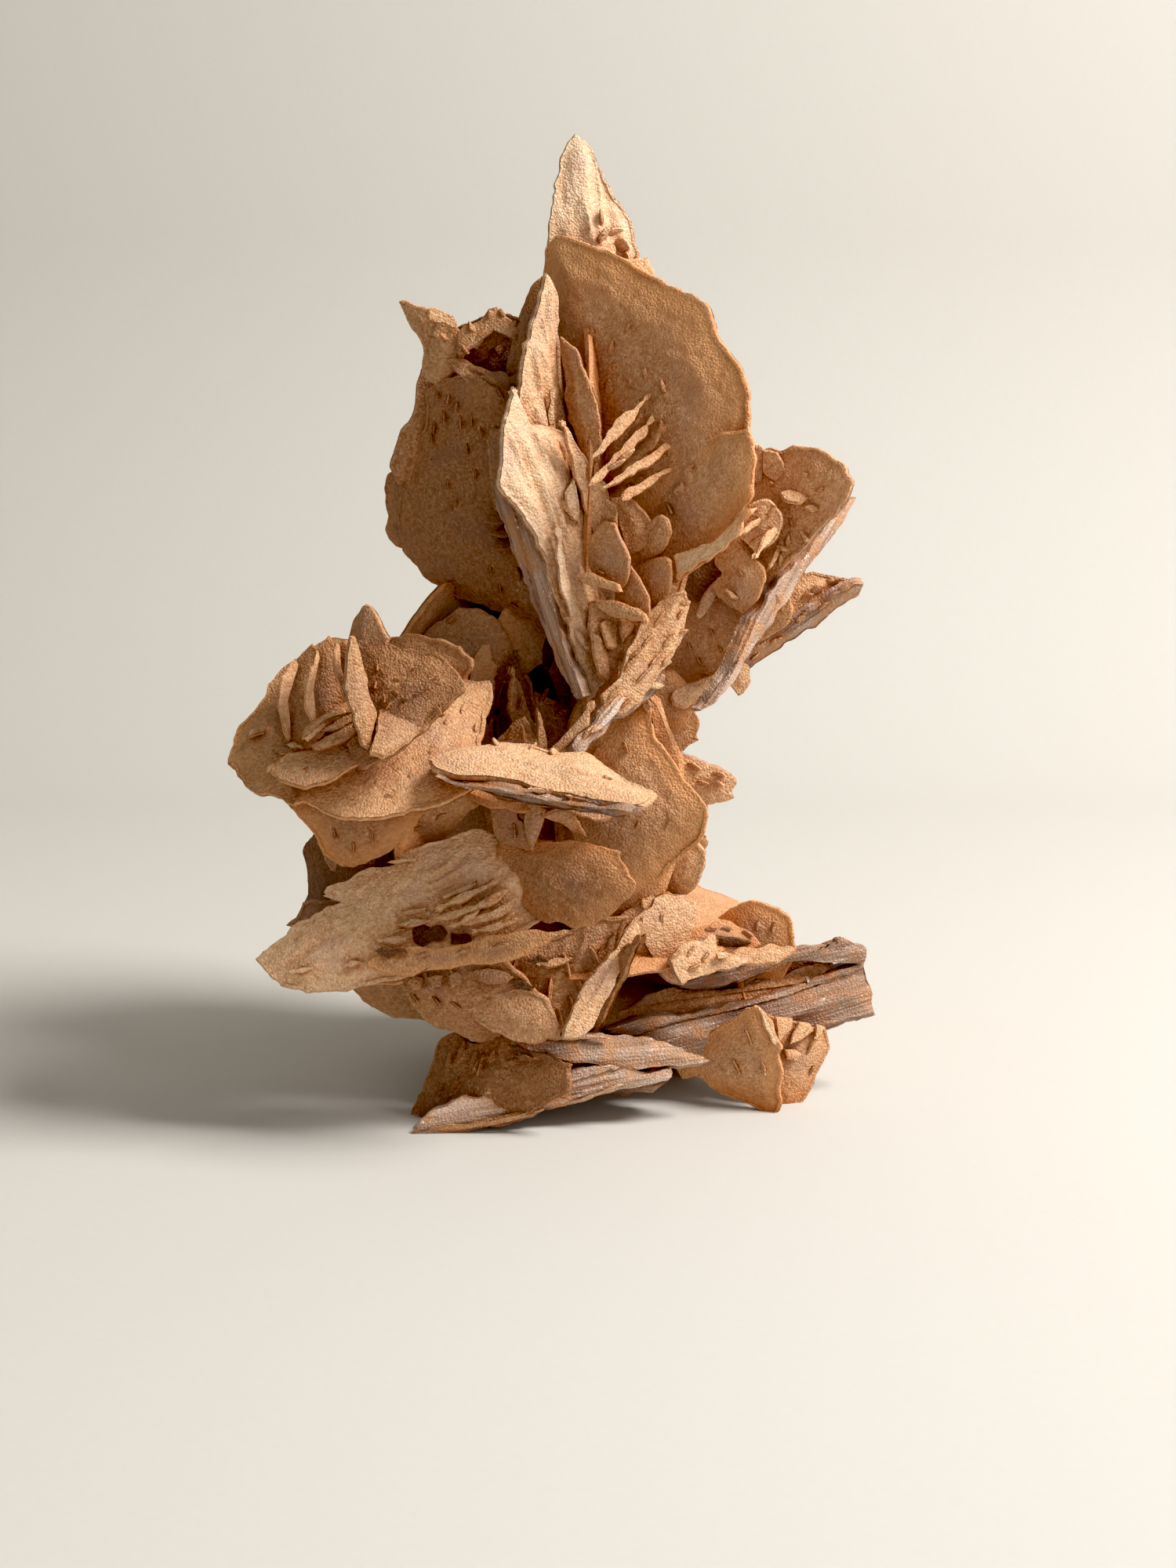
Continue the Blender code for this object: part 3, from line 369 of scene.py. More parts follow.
LEFT_DISC = [
    Blade("dark_disc", -35, -4, 17, 8, SHARP,
     [(-25, 117), (-25.7, 111.5), (-28.3, 107.5), (-29.5, 103.5), (-29.9, 97), (-29, 92.3), (-27.3, 89.7),
      (-25, 87.2), (-22, 85), (-18, 83.5), (-14, 82.2), (-8, 81.5), (-5, 90), (-6, 104), (-11, 115),
      (-18, 120)]),
    Blade("dark_disc_wall", 12, 0, 22, 6, SHARP,
     [(-25.6, 124), (-26.1, 120.5), (-26.7, 117.5), (-27, 114.5), (-27.6, 112.7), (-29, 111), (-29.9, 109),
      (-31, 107), (-31.3, 105), (-30, 102), (-27, 103), (-24, 108), (-22.5, 116), (-23, 123)]),
    Blade("disc_back_plate", -30, 0, 27, 6, THIN,
     [(-30, 105.3), (-31.6, 103.9), (-31.9, 100), (-31.4, 98), (-31.7, 95.3), (-31.2, 93.4), (-29.5, 92.3),
      (-25, 93), (-24, 100), (-26, 106)]),
    Blade("left_horn", -20, 0, 18, 6, SHARP,
     [(-29.5, 130.9), (-28.7, 131.1), (-26, 130.2), (-23, 129.3), (-20.3, 126.8), (-19, 123), (-20.5, 119.5),
      (-23, 117), (-25.8, 119), (-25.7, 123.3), (-25.8, 124.9), (-26.8, 126.3), (-28.2, 128.3)]),
    Blade("horn_nugget", 10, 10, 13, 5, THIN,
     [(-24.9, 129.5), (-23, 129.4), (-21, 128.4), (-20.2, 126.9), (-21, 126.3), (-22.7, 127.2), (-24.9, 127.8)]),
    Blade("cavity_crest", -8, 18, 14, 5, THIN,
     [(-20.5, 125.5), (-19.5, 126.7), (-17, 127.8), (-15.7, 129.6), (-14, 130.1), (-13, 128.8), (-11.8, 127.8),
      (-11, 126.2), (-11.3, 124.3), (-12.6, 126.8), (-14.4, 126.4), (-16, 125), (-18, 123.6), (-20, 122.5)]),
    Blade("cavity_floor", -20, 0, 22, 6, THIN,
     [(-22, 126), (-19, 127.2), (-16, 128.5), (-13, 129), (-9, 127), (-8, 120), (-12, 115), (-19, 114),
      (-23, 118)]),
    Blade("neck_knob", -25, 0, 13, 6, THIN,
     [(-10.9, 127.3), (-9.8, 128.9), (-8.3, 129.4), (-7.5, 124), (-9, 117), (-12.9, 118.8), (-12.6, 121.8),
      (-11.7, 124)]),
    Blade("disc_beam", -8, 25, 13, 5, SHARP,
     [(-22.3, 121.8), (-19, 122), (-16, 120.3), (-13.5, 119.9), (-11.5, 118.5), (-11.5, 111), (-13.4, 110.6),
      (-14.6, 112), (-17.2, 115.3), (-20.3, 119.2)]),
    Blade("disc_rib", -50, 0, 9, 4, THIN,
     [(-15.2, 111.3), (-13.2, 111), (-12.4, 98.5), (-14.4, 97.8), (-15.4, 101), (-15.9, 106.5)]),
    Blade("disc_chip", -25, 0, 10, 4, THIN,
     [(-13.3, 92.4), (-11, 91.5), (-8, 86), (-8, 82.5), (-10.8, 84.6), (-12.4, 89)]),
]

LEFT_DISC_GROWTHS = [
    Chip(-35, 0, 3, 2.2, "", [(-21, 121.4), (-19, 124.6), (-16.6, 127), (-13.6, 127.4), (-12, 125.6), (-14.6, 123),
         (-17.4, 120.4)]),
    Chip(20, -10, 2, 2.2, "deep_shade", [(-14.6, 121.6), (-12.6, 123.8), (-11.6, 122), (-12.4, 119.6)]),
    *map(Sprout._make, (
        (-17.3, 124, 60, 30, 60, 3.5, 1.4), (-14, 123, 110, 30, 60, 3.5, 1.4), (-19, 123, 130, 30, 60, 3, 1.4),
    )),
    Chip(-10, 45, 1.5, 2.2, "", [(-16.5, 96.3), (-15.5, 97.9), (-13.4, 99.1), (-11, 98.5), (-12, 96.8), (-14.5, 96)]),
    Chip(-10, 45, 1.5, 2.0, "", [(-15.5, 94.4), (-14.2, 95.5), (-12, 95.9), (-11, 95), (-13, 94)]),
    Chip(-10, 45, 1.5, 2.2, "", [(-15.6, 92.2), (-14.2, 93.9), (-12, 94.8), (-10.5, 93.8), (-12, 92.5), (-14, 91.9)]),
    Chip(-30, 40, 1.0, 2.0, "", [(-12.5, 118.7), (-11, 119.6), (-9.5, 119.4), (-10, 118), (-12, 117.6)]),
    *map(Sprout._make, (
        (-23.3, 116.6, -60, 30, 60, 2.6, 1), (-21.8, 116, -80, 35, 60, 3, 1), (-20.5, 115, -60, 35, 60, 3, 1),
        (-22.5, 113.6, -50, 35, 50, 3, 1.2), (-24, 111.8, -70, 25, 60, 3, 1), (-20, 112.5, -60, 30, 60, 3, 1),
        (-18.3, 112.6, -70, 30, 60, 3, 1), (-24.4, 109.8, -50, 25, 60, 2.5, 1), (-16.7, 111, -60, 25, 60, 2.6, 1),
        (-21.3, 98.5, 80, 25, 70, 2.6, 1), (-20.6, 99, 70, 25, 70, 2, 0.8), (-24.5, 106.3, 0, 30, 20, 1.2, 1),
        (-19, 108.5, -70, 20, 60, 2.6, 0.8), (-17.6, 104.5, -80, 20, 60, 2.6, 0.8), (-22, 103, -80, 20, 60, 2.2, 0.8),
        (-15.5, 89.5, -60, 25, 50, 2.6, 1), (-14, 86.5, -50, 25, 50, 2.6, 1), (-11, 89, -60, 30, 50, 3, 1.2),
        (-12, 83.5, 10, 30, 50, 2.6, 1.2), (-13.3, 128.6, 120, 30, 40, 2, 1.2), (-15.2, 128.6, 100, 30, 40, 2, 1.4),
        (-11.7, 127, 60, 30, 40, 2, 1.2), (-18, 126.5, 120, 20, 40, 2.4, 1.2), (-22, 125, 150, 20, 40, 2.4, 1.2),
        (-16, 118.8, -30, 15, 60, 4.5, 1.1), (-18.5, 120.6, -40, 15, 60, 4, 1.1), (-14, 117, -40, 20, 60, 4, 1.2),
    )),
]

RIGHT_WING = [
    Blade("wing", -38, 4, 10, 7, SHARP,
     [(26.3, 107.8), (28.5, 108.2), (30, 107.4), (31.5, 108.1), (34, 108.4), (37, 107.7), (39, 106.3),
      (40.9, 105.2), (41.7, 103), (41.4, 100.3), (38, 96.5), (35, 93.5), (32, 90), (29.5, 87.5), (27, 84),
      (24.5, 79.5), (22.5, 74.5), (20, 70), (13, 68), (3, 76), (3, 90), (14, 101)]),
    Blade("wing_break", 42, 0, 8, 5, BROKEN,
     [(41.4, 100.5), (39.5, 96.6), (37.5, 93.6), (35, 90.6), (33.6, 88.6), (31, 84.8), (28.2, 80.3), (25.8, 77),
      (23.3, 73.5), (20.7, 69.7), (18.4, 66.8), (17, 66.3), (19, 69.5), (21.3, 73), (23, 77.5), (25.3, 82),
      (27.6, 86), (30, 88.9), (33, 91.5), (36, 95), (39, 98.5)]),
    Blade("wing_lap", -32, 0, 6, 5, SHARP,
     [(23.2, 94.4), (24.6, 93), (26.5, 90.8), (27.9, 89.2), (28.3, 87.3), (27.2, 84.8), (25, 81.5), (22, 83),
      (19.5, 86.5), (21.3, 88.3), (20, 90), (20, 91.4)]),
    Blade("wing_pocket", -10, 0, 13, 4, THIN,
     [(14, 90.5), (20, 91), (22.5, 88.5), (19, 84), (14.5, 84)]),
    Blade("wing_button", -10, 0, 3.5, 4, THIN,
     [(26.2, 99.8), (28, 100.1), (29.6, 99.3), (30.6, 97.7), (30.7, 95.7), (29.3, 93), (26.5, 91.5),
      (23.5, 94.5), (23.5, 97)]),
    Blade("wing_tongue", 10, 30, 9, 6, THIN,
     [(12.8, 68.3), (13.3, 69.6), (15, 70.4), (17.3, 71), (19.5, 72), (20.8, 72.5), (21, 70.5), (18, 68.2),
      (15.3, 66.6), (13.3, 67.2)]),
    Blade("wing_chip_low", -5, 0, 10, 5, SHARP,
     [(11.2, 65), (12.3, 63.8), (14.3, 62.9), (15.5, 64.2), (16.8, 66.3), (18, 68.4), (14, 73), (2, 73), (2, 66),
      (9, 66)]),
    Blade("wing_chip_back", 0, 0, 14, 4, SHARP,
     [(17, 67), (17.9, 64.3), (17.4, 62.3), (18, 61.6), (16.3, 60.9), (15, 59.7), (12.3, 59.3), (8, 60), (8, 66),
      (12, 70)]),
    Blade("far_horn", -10, 25, 17, 5, SHARP,
     [(43.4, 87), (41, 87.9), (38, 88.4), (33, 88.4), (25, 88), (18, 80), (22, 74), (28, 76.5), (32, 80.2),
      (35.5, 82.7), (39, 85), (42.6, 86.2)]),
    Blade("far_horn_break", 8, -20, 15, 5, BROKEN,
     [(43.3, 86.9), (42.4, 85.2), (40, 83.7), (38, 82), (35.5, 79.8), (33, 78.4), (30, 76.3), (28, 75.1),
      (25.5, 73.2), (20, 71), (20, 76), (27, 78), (32, 81), (35.5, 83.4), (39, 85.6), (42, 87)]),
    Blade("horn_lap", -20, 0, 12.5, 4, THIN,
     [(29, 88), (31.3, 87), (32, 85), (32.7, 82.6), (32, 80.3), (29, 78.3), (24, 77), (22, 82), (26, 87)]),
    Blade("far_diamond", 5, 0, 14, 4, THIN,
     [(22, 71.4), (24.3, 68.6), (26, 71), (26, 74), (23, 75)]),
]

RIGHT_WING_GROWTHS = [
    Chip(-20, 0, 0.9, 2.4, "", [(25.4, 108.2), (27.2, 108.6), (28, 107.4), (27.9, 105), (27.2, 102.5), (25.6, 102)]),
    Chip(-25, 0, 0.6, 2.2, "", [(27.5, 107.8), (29.7, 107.6), (30.8, 106), (31.4, 104.2), (29.5, 102.6),
         (27.6, 103.8)]),
    Chip(0, 50, 1.2, 1.8, "", [(30.2, 100.9), (31.6, 101.4), (33.2, 101), (34.9, 100.2), (33, 99.2), (31.3, 99.4)]),
    Chip(0, 40, 0.9, 1.6, "", [(33.9, 98.7), (35, 99), (36.5, 98.5), (35.3, 97.9)]),
    Chip(30, 20, 0.9, 1.6, "", [(33.3, 94.9), (34.2, 94.6), (35, 93.4), (34.2, 93.1)]),
    Chip(40, 20, 1.4, 1.8, "", [(23.3, 94.2), (25.2, 94.6), (27.1, 96), (28.1, 98.5), (26.4, 97.3), (24.3, 95.6)]),
    Chip(35, 20, 1.0, 1.6, "", [(24, 96.8), (25.6, 97.3), (26.9, 98.9), (25.3, 98.4)]),
    Chip(45, 10, 1.6, 1.8, "", [(26.3, 90.8), (27.7, 92), (29.3, 93.9), (30.5, 96), (29.3, 96), (27.6, 94)]),
    Chip(40, 10, 1.4, 1.6, "", [(28.4, 88.7), (29.6, 90.2), (30.7, 92.5), (31.5, 95.4), (30.4, 94), (29.2, 91.5)]),
    Chip(0, 40, 1.4, 1.4, "", [(29.6, 92.5), (31, 92.7), (32, 91.9), (30.8, 91.8)]),
    Chip(38, 10, 1.6, 1.8, "pale", [(21.4, 88.4), (21, 86.2), (19.4, 83.4), (17.5, 81.1), (17.2, 81.9), (18.3, 84.7),
         (19.9, 87.1)]),
    Chip(20, 30, 0.9, 1.6, "", [(21.4, 85.9), (22.6, 85.6), (24, 84.2), (22.5, 84.4)]),
    *map(Sprout._make, (
        (34, 103.7, 10, 25, 40, 2, 1.2), (28.5, 102.4, -10, 25, 40, 2.4, 1.2), (32, 96.5, -40, 25, 50, 2.4, 1.2),
        (36.5, 101.5, 30, 20, 50, 2, 1), (38, 104, 60, 20, 50, 2, 1), (31.5, 93, 70, 25, 60, 3, 1.2),
        (30.5, 90, 80, 25, 60, 3, 1.2), (28.7, 97.5, 60, 25, 60, 3, 1.2), (26, 93, 40, 25, 60, 3, 1.2),
        (24, 88.5, -30, 20, 40, 2, 1.2), (19.5, 79, -60, 20, 50, 2.2, 1.1), (21, 76.5, -60, 20, 50, 2, 1),
        (17.5, 74.5, -40, 20, 50, 2.2, 1.1), (18.5, 71.8, -10, 25, 40, 2.4, 1.2), (16, 77, -50, 20, 50, 2, 1),
        (36, 85.6, 30, 20, 30, 3, 1.6), (38.5, 87, 10, 25, 30, 3, 1.6), (34.5, 84.6, 20, 25, 30, 2.6, 1.4),
        (37, 83, 40, 20, 60, 3, 1.2), (33.5, 80.8, 40, 20, 60, 3, 1.2), (29.5, 77.5, 30, 20, 60, 3, 1.2),
        (40.5, 86, 30, 20, 50, 2.6, 1.2), (26.5, 75, 30, 20, 60, 3, 1.2), (30, 84.5, -60, 20, 50, 2.4, 1.2),
    )),
]

WAIST = [
    Blade("curved_leaf", 14, 16, -5, 6, SHARP,
     [(14.8, 86), (15.9, 85.4), (16.2, 83.8), (15.7, 81), (14.9, 78.3), (13.6, 75.3), (12.2, 72.6), (11, 70.6),
      (8, 67.3), (5.5, 65.5), (2, 66), (1.5, 69), (4, 71), (5.8, 75.7), (7.3, 78.4), (8.6, 80.7), (10.6, 82.8),
      (12.4, 84.8)]),
    Blade("leaf_stem", 25, 10, -8, 5, BROKEN,
     [(11.8, 72.2), (10.6, 69.6), (7.5, 66.8), (4, 64.3), (1, 61.8), (-1.2, 59.6), (-2.6, 58.6), (-3.2, 60.5),
      (-0.5, 64.2), (1.6, 67.4), (3.9, 70), (7.5, 71)]),
    Blade("leaf_prong", -20, 15, -11, 4, THIN,
     [(0.8, 68), (-1, 66), (-3.2, 63.4), (-5.9, 60.3), (-7.5, 58), (-7.2, 57.3), (-4.6, 59.4), (-2, 61.8),
      (0.6, 64)]),
    Blade("leaf_prong_small", -20, 10, -10, 3, THIN,
     [(-0.9, 63), (-2.2, 60.9), (-4.2, 59.1), (-3.5, 57.4), (-2.3, 56.6), (-1.8, 57.8), (-1.5, 59.2),
      (0.3, 61.2)]),
    Blade("shelf", 3, 66, -20, 4.5, SHARP,
     [(-26, 58.3), (-21, 59.8), (-17, 60.2), (-14.7, 61), (-11.5, 60.6), (-8.5, 59.9), (-5, 59.3), (0, 59.1),
      (2.6, 57.5), (5, 55.6), (8, 53.6), (11.4, 52.4), (10.1, 50.7), (8.8, 50.1), (5, 50.6), (1, 51.3),
      (-4, 52.2), (-9, 53.2), (-14, 54.5), (-18, 55), (-21, 55.3), (-24, 56.7)]),
    Blade("shelf_break", -22, -14, -25.5, 5, BROKEN,
     [(-24, 56.2), (-20, 55.2), (-16, 54.7), (-12, 53.9), (-8, 52.9), (-3, 51.8), (2, 51), (7, 50.5), (9, 50.2),
      (5, 49.6), (1, 50), (-4, 50.7), (-8, 51.5), (-12, 52.5), (-16, 53.6), (-21, 54.6)]),
    Blade("shelf_lower", 3, 30, -16, 4, THIN,
     [(-12, 53), (0, 52.5), (5, 50.5), (4, 49), (2, 48.3), (0, 48.8), (-3, 49.6), (-9, 51)]),
    Blade("brown_disc", -16, 4, -4, 7, SHARP,
     [(8.7, 68.7), (9.9, 67), (10.2, 64.5), (10.9, 62.7), (12.3, 61), (13.6, 59), (15, 56.6), (16.6, 54.2),
      (18.4, 52.5), (19.2, 50.2), (19.3, 47.7), (18.3, 45.8), (16.4, 44.2), (14.4, 42.3), (12.8, 41),
      (11.8, 38.5), (9.5, 37.4), (7, 36), (3, 38), (-2, 44), (-3, 53), (1, 62), (5, 67)]),
    Blade("right_point", 0, 0, 6, 6, BROKEN,
     [(13, 60), (16, 59.2), (18, 58.1), (20.2, 57.6), (21.8, 56.8), (23.7, 55.1), (23.1, 53.8), (23.5, 52.5),
      (21.2, 51.7), (19.5, 51.3), (12, 48), (3, 50), (3, 59)]),
    Blade("right_ear", -20, 0, 5, 6, SHARP,
     [(17.6, 45), (18.9, 43.8), (19.2, 41.7), (18.8, 40), (18.5, 38.3), (17, 36.4), (14.8, 35.5), (10, 33),
      (2, 38), (4, 47), (13, 49)]),
    Blade("jagged_plate", 15, 0, 2, 6, SHARP,
     [(8.5, 35.5), (10, 36.8), (11.2, 36), (12.5, 36.6), (14.2, 36.2), (15.5, 36.5), (17.2, 34.8), (16.4, 33.3),
      (17.1, 32), (15.8, 30.2), (16, 28.8), (12, 25), (6, 26), (4, 32)]),
    Blade("hanging_leaf", -25, -5, -12, 4, THIN,
     [(-15.7, 52.6), (-15.4, 49), (-15.1, 46.5), (-14, 44.9), (-12, 44.1), (-9.1, 43.5), (-8.3, 45.6),
      (-9.4, 47.6), (-11.4, 49), (-11, 53)]),
    Blade("hanging_spike", -30, 0, -15, 3.4, THIN,
     [(-9.3, 52.3), (-7.7, 51.2), (-6.6, 50.4), (-7.4, 47.5), (-8.9, 43.2), (-9.9, 45.5), (-10.2, 48.5)]),
    Blade("hanging_fin", 20, -30, -14, 3, THIN,
     [(-7.7, 49.5), (-4.5, 50.8), (-2, 49.8), (-1.1, 48), (-0.1, 45.8), (-2, 46.4), (-4.5, 47.9), (-6.5, 49)]),
]

WAIST_GROWTHS = [
    Chip(20, 10, 0.8, 1.6, "pale", [(9.8, 71), (11, 71.2), (12.4, 70.4), (11.3, 69.9), (9.9, 70)]),
    Chip(30, 0, 0.4, 1.6, "glitter", [(-0.2, 62.5), (1.2, 64.8), (3, 67.5), (5, 69.5), (6, 68.4), (4.8, 66.2),
         (2.2, 63.8)]),
    Chip(10, -10, 0.7, 1.6, "pale", [(-9.8, 53.8), (-8, 54), (-5.5, 53.4), (-7.5, 52.9)]),
    Chip(10, -10, 0.7, 1.4, "glitter", [(-3.9, 52.8), (-2.9, 52.9), (-1.9, 52.2), (-3, 51.8)]),
    Chip(-10, 0, 0.8, 1.8, "", [(8.2, 69.2), (9.6, 68.6), (10.3, 67.2), (9.6, 66), (8.6, 67)]),
    Chip(-30, 0, 0.7, 1.8, "", [(19.2, 55), (21, 55.2), (22, 54.2), (20.5, 53.6), (19.4, 53.9)]),
    *map(Sprout._make, (
        (6, 73, 50, 15, 60, 4, 1.2), (8, 71.2, 45, 15, 60, 4.5, 1.2), (10, 73.5, 50, 15, 60, 4, 1.2),
        (12.5, 77, 60, 20, 50, 3, 1.3), (14.5, 81.5, 60, 20, 50, 2.4, 1.2), (9, 77, 50, 15, 60, 3, 1),
        (11, 80.5, 60, 15, 60, 3, 1), (7, 75, 40, 15, 60, 3.4, 1), (15.3, 83.6, 20, 25, 50, 2, 1.3),
        (12.6, 74.2, 20, 25, 50, 2, 1.3), (15, 79, 20, 25, 50, 2, 1.3), (3.5, 68.6, 50, 20, 60, 3.4, 1),
        (1.5, 65.8, 50, 20, 60, 3.4, 1), (5.5, 67, 45, 20, 60, 3, 1), (-0.5, 62.3, 50, 20, 60, 3, 1),
        (-14.7, 61, 100, 30, 40, 2.4, 1.5), (-9, 60.2, 70, 35, 50, 2.4, 1.4), (-5.5, 59.6, 60, 35, 50, 2.4, 1.4),
        (1.5, 59.2, 70, 25, 50, 2.4, 1.3), (-12, 47.5, -70, 20, 50, 3, 1.2), (2, 64, -60, 15, 50, 2, 1),
        (6, 60.5, -60, 12, 50, 2, 1), (3, 55.5, -60, 12, 50, 2, 1), (8, 47.7, 70, 20, 50, 2, 1),
        (13, 48, 60, 12, 50, 1.8, 1), (16.5, 57.5, -20, 15, 40, 3, 1.3), (20.5, 56.3, -20, 20, 40, 3, 1.3),
        (18, 54.8, -10, 20, 50, 3, 1.2), (9, 34.5, 100, 25, 50, 2.6, 1.4), (12, 35, 90, 25, 50, 2.6, 1.4),
        (14.8, 34.6, 70, 25, 50, 2.6, 1.4), (12, 31, 100, 20, 60, 3.4, 1.3), (15, 31.5, 60, 20, 50, 2.6, 1.3),
        (9, 30.5, 100, 20, 60, 3.4, 1.3),
    )),
]

HOLLOW = [
    Blade("hollow_back", 10, 0, 28, 5, THIN,
     [(-20.5, 80), (-17, 81.5), (-13, 82.5), (-8, 81.8), (-3, 79), (0, 70), (-2, 60), (-14, 55), (-20, 60),
      (-22, 72)]),
    Blade("hollow_shell", -35, 10, 17, 4, THIN,
     [(-19, 75), (-16.8, 78), (-14, 79.7), (-11.5, 80.5), (-9, 80.1), (-6.3, 78.6), (-4.5, 76), (-8, 70),
      (-14, 68), (-18, 70)]),
    Blade("hollow_shell_low", -35, 10, 12, 4, THIN,
     [(-19.2, 71), (-17.8, 74), (-15.6, 76.7), (-13.4, 78.1), (-12.4, 76), (-11.5, 71), (-12, 60), (-17, 60),
      (-18.5, 66)]),
    Blade("hollow_arc", -40, 0, 7, 4, THIN,
     [(-15.2, 71.5), (-13.6, 73.8), (-12.4, 74.6), (-11.7, 76.6), (-10.7, 74.5), (-9.6, 72), (-9, 69), (-9, 60),
      (-12, 57), (-15.5, 60)]),
    Blade("hollow_spike", 38, 0, 2, 3, THIN,
     [(-12.4, 73.5), (-11.4, 71.6), (-10.2, 68.6), (-9.2, 65.6), (-8.7, 63.5), (-9.6, 58), (-12, 58),
      (-12.6, 66), (-12.9, 70)]),
    Blade("hollow_splinter", 30, 0, -5, 2.5, THIN,
     [(-8.2, 66.8), (-7.4, 65), (-6.8, 62.5), (-6.2, 58.5), (-7.6, 58), (-8.3, 63)]),
    Blade("hollow_triangle", -20, 10, -4, 3.5, THIN,
     [(-15.4, 61), (-13.6, 63.1), (-12, 64.6), (-10.2, 65.7), (-8.8, 63.5), (-7.2, 60.5), (-10, 57), (-15, 58)]),
    Blade("hollow_sill", 20, 20, 6, 4, THIN,
     [(-9.6, 69.7), (-6.5, 69), (-4.4, 67.7), (-2, 66.7), (0, 66), (0, 61), (-4, 58), (-9.5, 60)]),
    Blade("hollow_wall", 30, 0, 12, 4, THIN,
     [(-9.5, 72), (-7.5, 74), (-6, 72), (-4.5, 68), (-7, 64), (-9.5, 66)]),
]

HOLLOW_GROWTHS = [
    *map(Sprout._make, (
        (-17, 73.5, -60, 25, 60, 4, 1.4), (-13.5, 70.5, -80, 30, 60, 4, 1.4), (-14.5, 67.5, -70, 30, 60, 4, 1.4),
        (-11, 67, 100, 30, 60, 3.5, 1.3), (-7.5, 68, 60, 30, 50, 3.5, 1.4), (-5, 65.5, 30, 30, 50, 3.5, 1.4),
        (-15.8, 63.5, 80, 30, 60, 3.5, 1.2), (-12.5, 62.3, 60, 35, 60, 3, 1.2), (-10.2, 61.8, 100, 35, 60, 3.4, 1.2),
        (-16.5, 70, 100, 25, 60, 3.5, 1.2), (-6.5, 62, 70, 30, 60, 3, 1.2), (-13, 74.5, 110, 25, 60, 3, 1.2),
    )),
]

